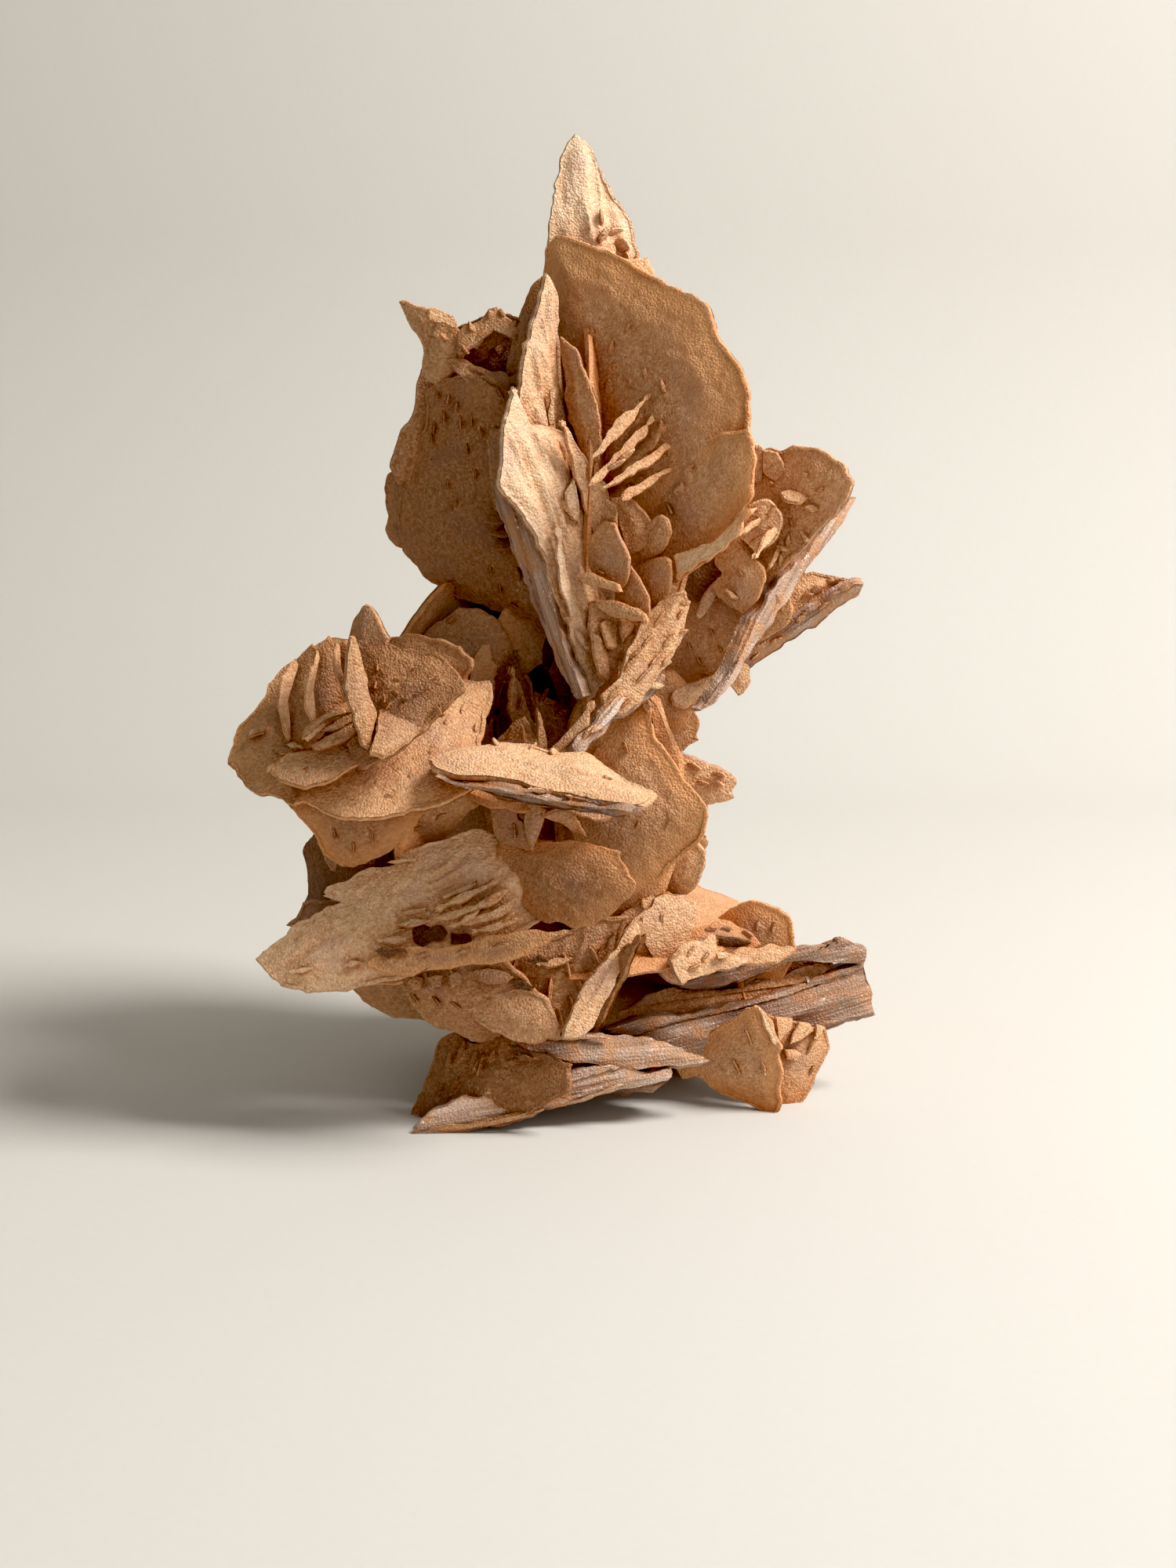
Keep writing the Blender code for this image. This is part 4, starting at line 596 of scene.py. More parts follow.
LEFT_LOBE = [
    Blade("lobe_top", -14, 42, -5, 6, SHARP,
     [(-57.8, 57.8), (-57.2, 60.6), (-56, 63.3), (-54, 65.2), (-52.3, 67.5), (-51, 70.3), (-49, 72.8),
      (-46.5, 74.6), (-44.5, 76.2), (-41.5, 78), (-38, 78), (-32, 76), (-26, 71), (-22.8, 67.8), (-25, 65),
      (-27, 62.8), (-30, 60), (-33, 58.7), (-38, 56.5), (-42, 54.8), (-45.4, 53.8), (-47, 50.9), (-49, 51.5),
      (-51, 52.4), (-54, 52.9), (-55.5, 54), (-56.8, 56.5)]),
    Blade("lobe_front", -4, 46, -13, 5, SHARP,
     [(-47.3, 50.9), (-45.5, 51.1), (-44.5, 50.5), (-43, 49.6), (-40, 48.7), (-37, 48.5), (-33, 48.8),
      (-30, 49.3), (-26, 50.3), (-20, 52.3), (-17.8, 53.5), (-16.8, 56), (-16.7, 60), (-16, 64), (-15.2, 68),
      (-15.3, 71), (-22, 71), (-32, 66), (-42, 60), (-46, 55)]),
    Blade("lobe_apron", -14, 44, -17, 2, SHARP,
     [(-51, 57), (-48, 54.4), (-44.6, 54), (-38.9, 56.1), (-34.8, 58.7), (-28.6, 62.3), (-26.5, 64.9), (-28, 66),
      (-36, 63), (-43, 60), (-49, 59)]),
    Blade("lobe_hood", -20, 26, -17, 5, SHARP,
     [(-37, 77.8), (-33, 77.4), (-29, 76.7), (-25, 75.6), (-23, 74.4), (-20.8, 72.6), (-19.3, 71), (-19.6, 69.9),
      (-22, 67.6), (-24.8, 64.6), (-27.4, 62.2), (-30, 60.2), (-33, 58.2), (-36, 56.7), (-38, 59), (-37.6, 66),
      (-37, 73)]),
    Blade("lobe_slope", 2, 45, -19.6, 2.6, THIN,
     [(-35, 59.2), (-33.6, 66.4), (-30, 66.4), (-27, 67.6), (-24, 68.4), (-22.9, 67.3), (-25, 64.6),
      (-27.4, 62.2), (-30, 60.2), (-33, 58.3)]),
    Blade("lobe_horn", -35, 10, -9, 5, SHARP,
     [(-35.1, 84), (-34.4, 83.4), (-33.4, 81.3), (-32.6, 79.6), (-31.4, 78.2), (-33, 73), (-37, 73), (-38.2, 76),
      (-37.8, 78.3), (-37, 80.8), (-36.2, 82.4)]),
    Blade("horn_facet", 24, 8, -20, 3.4, SHARP,
     [(-38, 78.4), (-37, 78.6), (-36.4, 76.5), (-35.6, 73), (-34.8, 69), (-33.8, 66), (-34.6, 62.5),
      (-35.2, 59.7), (-36, 60.2), (-37.1, 63), (-38.1, 67), (-39, 70.4), (-38.7, 74)]),
    Blade("lobe_petal_1", -30, 25, -6, 5, THIN,
     [(-44, 77.2), (-46.5, 74.7), (-48.7, 71.4), (-49.5, 68), (-49.1, 64.5), (-48.3, 61.5), (-46.8, 60),
      (-44, 60.5), (-42, 66), (-41, 73)]),
    Blade("lobe_petal_2", -12, 20, -12, 5, THIN,
     [(-41.2, 78.3), (-43.3, 76), (-44.3, 72.5), (-45.2, 69), (-45, 66.5), (-43.7, 64.2), (-41, 63.5), (-39, 67),
      (-38.5, 75)]),
    Blade("lobe_petal_3", -30, 10, -16, 4, THIN,
     [(-38.6, 78), (-40.3, 77.2), (-40.3, 74), (-39.5, 70.8), (-38.6, 68), (-37, 66), (-36.5, 74)]),
    Blade("lobe_fold_upper", -10, 40, -16.5, 2, THIN,
     [(-45.7, 61.7), (-45.4, 63.3), (-43.6, 64.9), (-41, 66.6), (-38.5, 67.8), (-37.5, 66), (-41, 65.1),
      (-43.6, 63.3), (-44.5, 62.1)]),
    Blade("lobe_fold_middle", -10, 30, -17, 1.6, THIN,
     [(-42.8, 62.9), (-41, 63.9), (-38.5, 64.9), (-36.8, 65), (-38.5, 64), (-41, 63)]),
    Blade("lobe_fold_lower", -10, 30, -18, 2, THIN,
     [(-45, 60.8), (-44, 59.7), (-42.6, 59.9), (-40, 60.9), (-37.4, 62.2), (-36.3, 63.5), (-38.5, 63.4),
      (-41.5, 62.4), (-43.8, 61.3)]),
    Blade("lobe_back", -25, 0, 1, 6, SHARP,
     [(-32, 78), (-27, 78.5), (-23.5, 78), (-20.1, 76.9), (-19.7, 76), (-18.1, 75), (-18.3, 73.3), (-19.2, 71.6),
      (-20, 64), (-28, 64), (-33, 74)]),
    Blade("lobe_hump", -20, 0, 13, 6, THIN,
     [(-27, 78), (-24.6, 80.3), (-22.5, 82), (-20.4, 83.4), (-17.5, 83.2), (-15, 82), (-12, 76), (-14, 66),
      (-24, 66)]),
    Blade("lobe_under", -6, -14, -11, 5.5, SHARP,
     [(-48.2, 51), (-45.7, 48), (-44, 45.4), (-42.5, 42.7), (-41.3, 41.6), (-39.3, 40.9), (-37, 41), (-35, 42),
      (-33, 43), (-30.5, 45), (-29, 46.6), (-27, 49), (-26, 50.5), (-30, 56), (-42, 56)]),
    Blade("lobe_strip", -4, -10, -5, 5, SHARP,
     [(-42.5, 41.5), (-40.7, 39), (-33, 41.2), (-28, 43.3), (-24, 45.3), (-21.5, 47), (-18.5, 50), (-16.3, 53.5),
      (-18, 60), (-34, 58), (-43, 48)]),
    Blade("lobe_shade", -50, 0, 2, 5, THIN,
     [(-44.4, 46.4), (-45.6, 45), (-46, 43.5), (-45.2, 41), (-45, 38), (-45.2, 35.3), (-48, 31), (-44, 28),
      (-36, 34), (-34, 46), (-41, 52)]),
]

LEFT_LOBE_GROWTHS = [
    Chip(35, 20, 1.6, 1.4, "petal_rim", [(-46.6, 75), (-48.8, 71.6), (-49.8, 68), (-49.4, 64.4), (-48.2, 61),
         (-47.4, 61.2), (-48.3, 64.6), (-48.7, 68), (-47.8, 71.2), (-46, 74)]),
    Chip(35, 20, 1.6, 1.4, "petal_rim", [(-43.4, 76.6), (-44.6, 72.6), (-45.5, 69), (-45.3, 66.2), (-43.9, 63.8),
         (-43.4, 64.4), (-44.3, 66.5), (-44.5, 69), (-43.5, 72.4), (-42.4, 75.6)]),
    Chip(35, 20, 1.6, 1.4, "petal_rim", [(-40.4, 77.6), (-40.7, 74), (-39.9, 70.8), (-38.8, 67.8), (-38.6, 68.6),
         (-38.9, 71), (-39.6, 74), (-39.4, 77)]),
    Chip(30, 30, 1.4, 1.4, "petal_rim", [(-45.5, 61.9), (-43.4, 64), (-41, 65.6), (-38.4, 66.6), (-38, 66),
         (-40.8, 64.6), (-43, 63), (-44.9, 61.2)]),
    Chip(-30, -10, 0.4, 1.2, "deep_shade", [(-44.6, 61.4), (-42.6, 63.2), (-39.6, 64.6), (-38, 64.6), (-40, 63.2),
         (-42.6, 61.6), (-43.6, 60.8)]),
    Chip(-14, 60, 1.0, 1.8, "", [(-54.5, 61.7), (-54.1, 63), (-52.8, 63.7), (-51.3, 63.3), (-51.8, 62.6),
         (-53.3, 62.3)]),
    Chip(-10, 60, 1.0, 1.8, "", [(-50.1, 60.4), (-49, 59.8), (-47, 60.3), (-46, 60.6), (-47.5, 59.5), (-49.4, 59)]),
    Chip(-20, 20, 0.9, 1.6, "", [(-48.4, 60.9), (-47, 61.5), (-45.6, 60.5), (-47.3, 60)]),
    # A honey chip under the shelf's tip: painted glow of light through the thin gypsum
    Chip(-25, 10, 0.9, 2.0, "honey", [(-25.3, 57), (-24, 55.4), (-21, 54.1), (-17.8, 53.5), (-18.3, 54.5),
         (-22, 56)]),
    *map(Sprout._make, (
        (-34, 70.5, -60, 30, 40, 1.8, 1.2), (-32.5, 68.3, -50, 30, 40, 1.8, 1.2), (-31, 69.3, -20, 30, 40, 2.2, 1.3),
        (-29.5, 68.2, -10, 35, 30, 2.4, 1.4), (-27.6, 68.8, 10, 30, 30, 2, 1.2), (-33.6, 73.3, -60, 25, 40, 1.8, 1.1),
        (-26, 69.8, 20, 25, 40, 1.8, 1.1), (-30.5, 71.3, 0, 25, 40, 1.8, 1.1), (-28, 73, 20, 20, 40, 1.6, 1),
        (-32, 67, -80, 30, 40, 1.6, 1.2), (-30, 67, -80, 30, 40, 1.6, 1.2), (-24.6, 71.5, 20, 20, 40, 1.6, 1),
        (-43.5, 62.2, 20, 30, 60, 2.6, 1), (-40.5, 61.2, 30, 30, 60, 2.4, 1), (-38, 61.2, 60, 30, 60, 2.4, 1),
        (-38, 51.5, 10, 15, 40, 2, 1), (-32, 52.5, 10, 15, 40, 2, 1), (-35, 54.8, 20, 15, 40, 2, 1),
        (-28, 56, 40, 15, 40, 2, 1), (-25, 60, 60, 15, 40, 2, 1), (-22.5, 64.5, 60, 15, 40, 2, 1),
        (-20, 66.5, 70, 15, 40, 2, 1), (-18, 63.5, 80, 15, 40, 2, 1), (-51, 57, 40, 15, 40, 2, 1),
        (-46, 57, 20, 15, 40, 2, 1), (-24, 66.5, -60, 30, 40, 2, 1.2), (-23.5, 65.7, -40, 30, 40, 1.8, 1.2),
        (-38, 44.5, -90, 15, 60, 2.6, 1), (-35, 46.5, -80, 15, 60, 2.6, 1), (-41, 47, -80, 15, 60, 2.6, 1),
        (-28, 47, 30, 15, 50, 2.4, 1), (-24, 49, 30, 15, 50, 2.4, 1), (-22, 80.5, 30, 20, 50, 2.4, 1),
    )),
]

LOWER_PLATE = [
    Blade("long_plate", -3, 20, -12, 9, SHARP,
     [(-54.4, 25.6), (-52.6, 27.4), (-50.4, 29), (-49.4, 29.5), (-48.6, 30.9), (-46, 32.4), (-42.5, 33.7),
      (-39, 35), (-43.2, 36.1), (-42.2, 37.8), (-40, 38.8), (-37.6, 39.8), (-35, 41), (-31.5, 41.4), (-30, 42.8),
      (-27.5, 44), (-24, 45.3), (-21, 46.3), (-18, 46.8), (-15, 46.4), (-9, 45), (-4, 41), (-5, 34), (-9, 30.5),
      (-14, 28.5), (-24, 25), (-31, 22), (-35, 21.3), (-38.4, 20.3), (-42, 20), (-45.5, 20), (-48, 20.2),
      (-50, 20.8), (-51.6, 22.2), (-53, 24)]),
    Blade("long_layer", -14, 12, -5, 5, SHARP,
     [(-48.8, 31.2), (-46.6, 33.2), (-46.2, 35), (-43, 35.5), (-40, 36.5), (-37, 40), (-30, 38), (-32, 32),
      (-42, 30)]),
    Blade("long_plate_lobe", -14, 8, -15, 7, SHARP,
     [(-14, 45), (-6, 45.5), (3, 44.5), (5.4, 43.4), (6.2, 41), (7.4, 37.9), (7.3, 36.4), (5.6, 34.6),
      (3.3, 32.3), (1.4, 30.8), (-1, 30.4), (-4, 31), (-7, 31.4), (-8.8, 32.4), (-10.2, 33.8), (-11.5, 36),
      (-15, 40)]),
    Blade("ripple_1", 0, 35, -15.6, 2, THIN,
     [(-24.6, 33.8), (-22, 35.8), (-18.4, 37.4), (-14.4, 38.8), (-15.5, 37.4), (-18, 36), (-20.8, 34.6)]),
    Blade("ripple_2", 0, 35, -16.2, 2, THIN,
     [(-24.8, 32.3), (-21.6, 33.6), (-18, 34.8), (-15, 36.6), (-12.8, 37.2), (-14.4, 35.2), (-17.6, 33.6),
      (-21.4, 32.2)]),
    Blade("ripple_3", 0, 35, -16.6, 2, THIN,
     [(-22.6, 30.9), (-19.4, 32.4), (-15.6, 33.4), (-13.2, 34.9), (-11.6, 35.5), (-12.6, 33.6), (-15.4, 32),
      (-19, 31)]),
    Blade("ripple_4", 0, 35, -17, 2, THIN,
     [(-19.5, 30), (-15.4, 31.4), (-12.4, 32.8), (-10.6, 32.4), (-12.6, 31), (-15.6, 29.9)]),
    Blade("lower_lip", -4, 15, -19.5, 4, SHARP,
     [(-36.4, 24.6), (-34.5, 23.7), (-32, 23), (-29.4, 22.5), (-26, 23.3), (-21, 24.2), (-15, 24.8), (-12, 25.4),
      (-9.4, 26.6), (-7, 28), (-4.6, 29.4), (-3, 30.3), (-8, 30.4), (-13, 29.8), (-18, 29), (-21, 28),
      (-25, 27.6), (-28.6, 28), (-31, 27), (-34, 26.3)]),
    Blade("lip_ledge", -4, 40, -9, 3, THIN,
     [(-41.5, 22.2), (-38, 23.9), (-35, 24.2), (-31, 22.8), (-29.8, 21.6), (-33, 21.2), (-37.4, 21.2)]),
    Blade("under_leaf", -10, -15, 4, 6, THIN,
     [(-38.5, 20.7), (-37, 18.5), (-34.5, 17), (-31, 15.6), (-27, 15), (-20, 14.5), (-14, 22), (-24, 30),
      (-36, 26)]),
    Blade("under_bumps", -8, -8, -6, 8, SHARP,
     [(-31.6, 21.8), (-30.4, 20.9), (-29.6, 19.4), (-28.4, 17.6), (-27, 16), (-25, 14.3), (-22.5, 13.4),
      (-20, 12.6), (-17, 12), (-10, 12), (-8, 20), (-14, 27), (-26, 27)]),
    Blade("light_leaf", -12, 14, -10, 5, SHARP,
     [(-19.1, 17.5), (-18.6, 15.9), (-17.2, 14.6), (-15.8, 13.4), (-14.2, 12.9), (-12, 11.9), (-9.5, 11.3),
      (-6.5, 11.8), (-4.3, 12.5), (-4, 14), (-5.5, 16.5), (-6.5, 19), (-9, 20.5), (-12, 21), (-16, 19.5)]),
    Blade("fluted_wall", -5, 0, -4, 9, SHARP,
     [(-12, 26), (-4, 30.5), (2, 33), (7, 33), (4.5, 26), (1, 20), (-3, 12), (-10, 11), (-14, 18)]),
    Blade("strut", 18, 12, -11, 4, SHARP,
     [(5.6, 30.6), (3.6, 27.2), (1.5, 24), (-0.6, 20.5), (-2.1, 17.5), (-3.3, 14.6), (-4.2, 12.2), (-2, 12.2),
      (-0.2, 13.2), (2, 17.4), (4.2, 21.6), (6.4, 25.6), (8.6, 29.4), (7.8, 31.8)]),
    Blade("strut_shade", -55, 0, -8, 4, SHARP,
     [(-0.6, 12.8), (2.4, 14.6), (4, 18.6), (5.8, 22.6), (7.4, 26.2), (9, 29.4), (7, 28.4), (3.5, 22), (1, 17)]),
]

LOWER_PLATE_GROWTHS = [
    Chip(-10, 20, 0.3, 1.2, "deep_shade", [(-28.8, 31), (-27.4, 32.2), (-25.8, 31), (-24, 31.4), (-22.6, 29.8),
         (-23.6, 28.2), (-25.4, 28.6), (-27, 27.4), (-28.4, 28.6)]),
    Chip(-10, 20, 0.3, 1.2, "deep_shade", [(-35, 26.8), (-33.6, 27.9), (-32, 27.2), (-30.4, 27.8), (-29, 26.6),
         (-31, 26.4), (-32.4, 25.4), (-34, 26.2)]),
    Chip(-10, 20, 0.3, 1.2, "deep_shade", [(-22.4, 30.2), (-19, 29.5), (-18.6, 28.2), (-22.4, 27.7)]),
    Chip(5, 45, 0.9, 1.8, "", [(-31, 31.2), (-28.6, 32.2), (-25.4, 32), (-27, 31.3), (-29.5, 30.6)]),
    Chip(5, 45, 0.9, 1.8, "", [(-34.4, 28.4), (-31.4, 29.4), (-29, 28.8), (-31.4, 27.8)]),
    Chip(0, 45, 0.8, 1.6, "", [(-23.5, 35.6), (-20.8, 37.2), (-17.6, 38.3), (-20, 36.6)]),
    Chip(0, 45, 0.7, 1.6, "", [(-31.5, 33), (-28.6, 33.9), (-25.8, 34), (-28.6, 32.9)]),
    Chip(0, 40, 0.6, 1.6, "", [(-48.6, 23.2), (-46, 24.3), (-44.2, 24.2), (-46.4, 23.1)]),
    Chip(0, 40, 0.6, 1.6, "", [(-40, 24.4), (-38, 25.4), (-36.6, 25), (-38.4, 24.2)]),
    Chip(0, 20, 0.6, 1.6, "pale", [(-32.5, 41.6), (-29.6, 42.3), (-27.4, 42), (-29.8, 41.5)]),
    Chip(10, 10, 1.2, 2.0, "", [(-29.8, 21.9), (-28.4, 22.9), (-26.8, 22.5), (-27.2, 20.4), (-28.9, 20)]),
    Chip(10, 10, 1.2, 2.0, "", [(-26.3, 22.6), (-25, 23.2), (-23.6, 22.9), (-23.8, 20.8), (-25.6, 20.4)]),
    Chip(10, 10, 1.0, 2.0, "", [(-23, 22.9), (-21.6, 23.5), (-20.4, 22.9), (-20.8, 21.2), (-22.4, 20.8)]),
    Chip(5, 40, 1.2, 2.0, "", [(-19.6, 23.4), (-17, 23.8), (-13.6, 23.3), (-11.8, 22.4), (-14, 21.6), (-17.4, 21.6)]),
    Chip(-10, 40, 1.0, 1.8, "", [(-8.4, 24.6), (-5, 25.8), (-1.8, 25.9), (-3.4, 24.6), (-6.4, 24)]),
    Chip(-10, 10, 0.8, 1.8, "deep_shade", [(-10, 25.4), (-8, 26.3), (-6, 25.2), (-8, 24.2)]),
    Chip(-10, 10, 0.8, 1.8, "deep_shade", [(-13, 21.8), (-11, 22), (-8.4, 20.8), (-10.6, 20.4)]),
    *map(Sprout._make, (
        (-20, 32, 30, 25, 60, 4, 1.2), (-17, 33.4, 30, 25, 60, 4, 1.2), (-25, 33, 30, 25, 60, 3.5, 1.2),
        (-16, 35.4, 30, 25, 60, 3.5, 1.2), (-22, 34, 30, 20, 60, 4, 1.2), (-13.5, 32, 40, 25, 60, 3, 1.2),
        (-31, 30, 20, 20, 60, 3, 1.2), (-28, 26, 10, 15, 50, 3, 1), (-21, 26.6, 10, 15, 50, 3, 1),
        (-15, 27.5, 15, 15, 50, 3, 1), (-26.2, 22.2, 90, 30, 70, 2.4, 0.9), (-22, 21.4, 95, 30, 70, 4.2, 0.9),
        (-28.5, 19.4, -30, 25, 40, 2.6, 1.4), (-25, 18.8, -30, 20, 40, 2.6, 1.4), (-22, 18, -20, 20, 40, 2.6, 1.2),
        (-4, 26, -70, 20, 60, 5, 1.6), (-6, 22, -75, 20, 60, 5, 1.6), (-2, 22.5, -70, 20, 60, 5, 1.6),
        (-5, 17, -80, 20, 60, 5, 1.6), (-3, 19, -75, 20, 60, 5, 1.4), (0.5, 27, -60, 20, 60, 4, 1.6),
        (1.5, 26, 65, 15, 60, 3, 0.8), (-1.5, 19, 65, 15, 60, 3, 0.8), (3.6, 28.6, 60, 15, 60, 3, 0.8),
    )),
]

BASE = [
    Blade("left_foot", -30, 12, -6, 6, SHARP,
     [(-29.8, -3.5), (-28.7, 0.5), (-27, 3.9), (-25.5, 7), (-25.1, 9), (-24.9, 11), (-24.3, 12.4), (-23, 13.3),
      (-21.5, 13.3), (-19.8, 12.3), (-17.3, 12.1), (-15.4, 12.9), (-13.6, 13), (-11, 11.4), (-9.2, 10.2),
      (-6, 9.2), (-2.6, 7.9), (-3, 3), (-10, -1), (-18, -4), (-26, -4.8)]),
    Blade("base_sill", 5, 10, -8, 14, BROKEN,
     [(-29.4, -4), (-27.8, -1.6), (-25.5, -0.2), (-23, 1.2), (-20.5, 2.4), (-17.5, 3), (-15.8, 3.8),
      (-13.4, 4.9), (-9.5, 5.7), (-5.4, 6.6), (-1, 7.2), (3, 7.4), (8, 7), (13.4, 7), (13, 5.4), (9.5, 4.3),
      (5, 3.7), (1.3, 2.3), (-3, 0.8), (-6.5, 0.1), (-10, -1.2), (-15, -2.6), (-20, -3.5), (-25, -4)]),
    Blade("sill_foot", -20, 0, 0, 6, BROKEN,
     [(4, 5), (4.8, 3), (6.6, 2.8), (8.4, 3.6), (11, 3.4), (12.4, 4.6), (13.4, 5.4), (12, 8), (5, 8)]),
    Blade("base_inner", -10, 10, 5, 7, THIN,
     [(-21, 12), (-8, 13), (6, 12), (8, 5), (-8, 1), (-20, 3)]),
    Blade("base_ledge", 5, 25, -5, 10, BROKEN,
     [(-12, 11.7), (-9, 12.4), (-5.4, 12.8), (-2, 13.3), (1.4, 12.9), (5, 12.3), (9, 12.1), (12.6, 11.4),
      (16, 10), (20, 8.3), (14, 7), (8, 6.6), (3, 7), (0, 7.4), (-2.6, 7.7), (-5, 8.6), (-8, 9.6),
      (-10.4, 10.2)]),
    Blade("book_lower", 12, 10, 8, 18, BROKEN,
     [(1.9, 13.8), (6, 15.3), (12, 16), (18, 17), (24, 18.3), (30, 20.2), (36, 22.3), (41, 24.6), (44.9, 25.9),
      (45, 22.5), (46, 19.6), (46.9, 16), (44, 15.3), (40, 13.8), (34, 12), (27, 9), (20, 8.2), (14, 10.2),
      (8, 12)]),
    Blade("book_middle", 2, 20, 11, 14, BROKEN,
     [(3, 14.6), (5.2, 16.2), (9, 18.6), (12.6, 20.4), (16, 21), (22, 20.8), (27, 21.8), (32, 22.9), (38, 24.6),
      (40, 23), (34, 19), (24, 16), (12, 13)]),
    Blade("book_recess", 0, 0, 15, 12, THIN,
     [(14, 20.6), (20, 22.4), (26, 24.6), (32, 25.8), (40, 26), (41, 22), (30, 19), (18, 18)]),
    Blade("book_upper", 4, 8, 11, 14, BROKEN,
     [(14.6, 20.9), (16.4, 22.3), (20, 22.9), (24, 23.9), (26.6, 25.7), (29, 26.8), (33, 27.2), (37, 27.7),
      (40.2, 28), (40.8, 29), (41.8, 28.8), (42.4, 28.3), (44.6, 27.9), (44.9, 26.3), (44.4, 25.3), (40, 25.6),
      (36, 25.5), (31, 24.9), (27.6, 23), (24.6, 21.7), (20, 20.9)]),
    Blade("right_foot", -24, -4, 1, 5, SHARP,
     [(26.2, 17.7), (27.2, 18), (28.5, 17), (29.8, 15.3), (30.8, 12.8), (31.9, 10.6), (31.6, 9.3), (32.3, 6.6),
      (31.9, 4.4), (31.8, 1.5), (30.8, 0), (28.4, 0.6), (26.2, 1.8), (23.8, 2.4), (21, 3.9), (19, 5.3),
      (15.6, 5.7), (14, 8), (18, 12), (23, 15.2)]),
    Blade("right_heel", 14, 4, 5, 6, SHARP,
     [(28, 17.4), (31, 16.2), (33.8, 15.6), (36, 14.9), (38.8, 14.4), (39.1, 12.6), (39.3, 10.6), (38.7, 8.6),
      (37.9, 6.4), (36.8, 3.9), (35.6, 1.6), (34, 0.2), (32, 0), (30, 1.2), (27, 8)]),
    Blade("orange_disc", -16, 0, 12, 5, SHARP,
     [(20.8, 32), (22.6, 33.4), (24.7, 34.6), (27.2, 35.2), (30.8, 34.6), (32.5, 33.3), (33.3, 31.8),
      (33.8, 29.7), (34.3, 27), (32, 22), (22, 21), (18, 27)]),
    Blade("orange_knob", 10, 30, 6, 5, THIN,
     [(16.4, 29.2), (17, 30.4), (19, 31.3), (21.6, 32.1), (23.6, 31.6), (25.5, 30.4), (27.2, 29.2), (28, 28),
      (26, 26.6), (21, 24), (17, 25)]),
    Blade("knob_low", 10, 35, 4, 4, THIN,
     [(23.4, 26.4), (24.6, 27.6), (27.6, 27.4), (29.9, 28.4), (31.6, 27.6), (33, 27.9), (34.4, 26.9), (32, 25.4),
      (28, 24.4), (24, 24.6)]),
    Blade("pale_plate", 16, 8, 1, 4, FLAT,
     [(5.9, 30.6), (8, 33), (9.8, 34.6), (10.6, 36), (12, 36.4), (13.6, 36.1), (14.9, 36.1), (15.5, 35.4),
      (16.9, 35), (16.9, 33), (16.6, 31.8), (17.3, 31), (16.3, 29.4), (16.4, 27), (16, 22), (15.2, 20.8),
      (13, 22.2), (11.4, 24), (9.8, 26), (8.5, 28.4), (8.3, 29.8)]),
    Blade("pale_front", 16, 22, -3.4, 3.4, FLAT,
     [(12.7, 25.6), (14, 27.4), (15.6, 28.5), (17.2, 28.8), (18.4, 28.4), (19.6, 29.6), (20.5, 29.2),
      (20.9, 27.8), (21.8, 26.8), (23.4, 26.3), (24.6, 25.7), (26.4, 25.5), (24, 24), (20, 22.8), (17, 22.1),
      (15.2, 21.3), (13.8, 23.6)]),
]

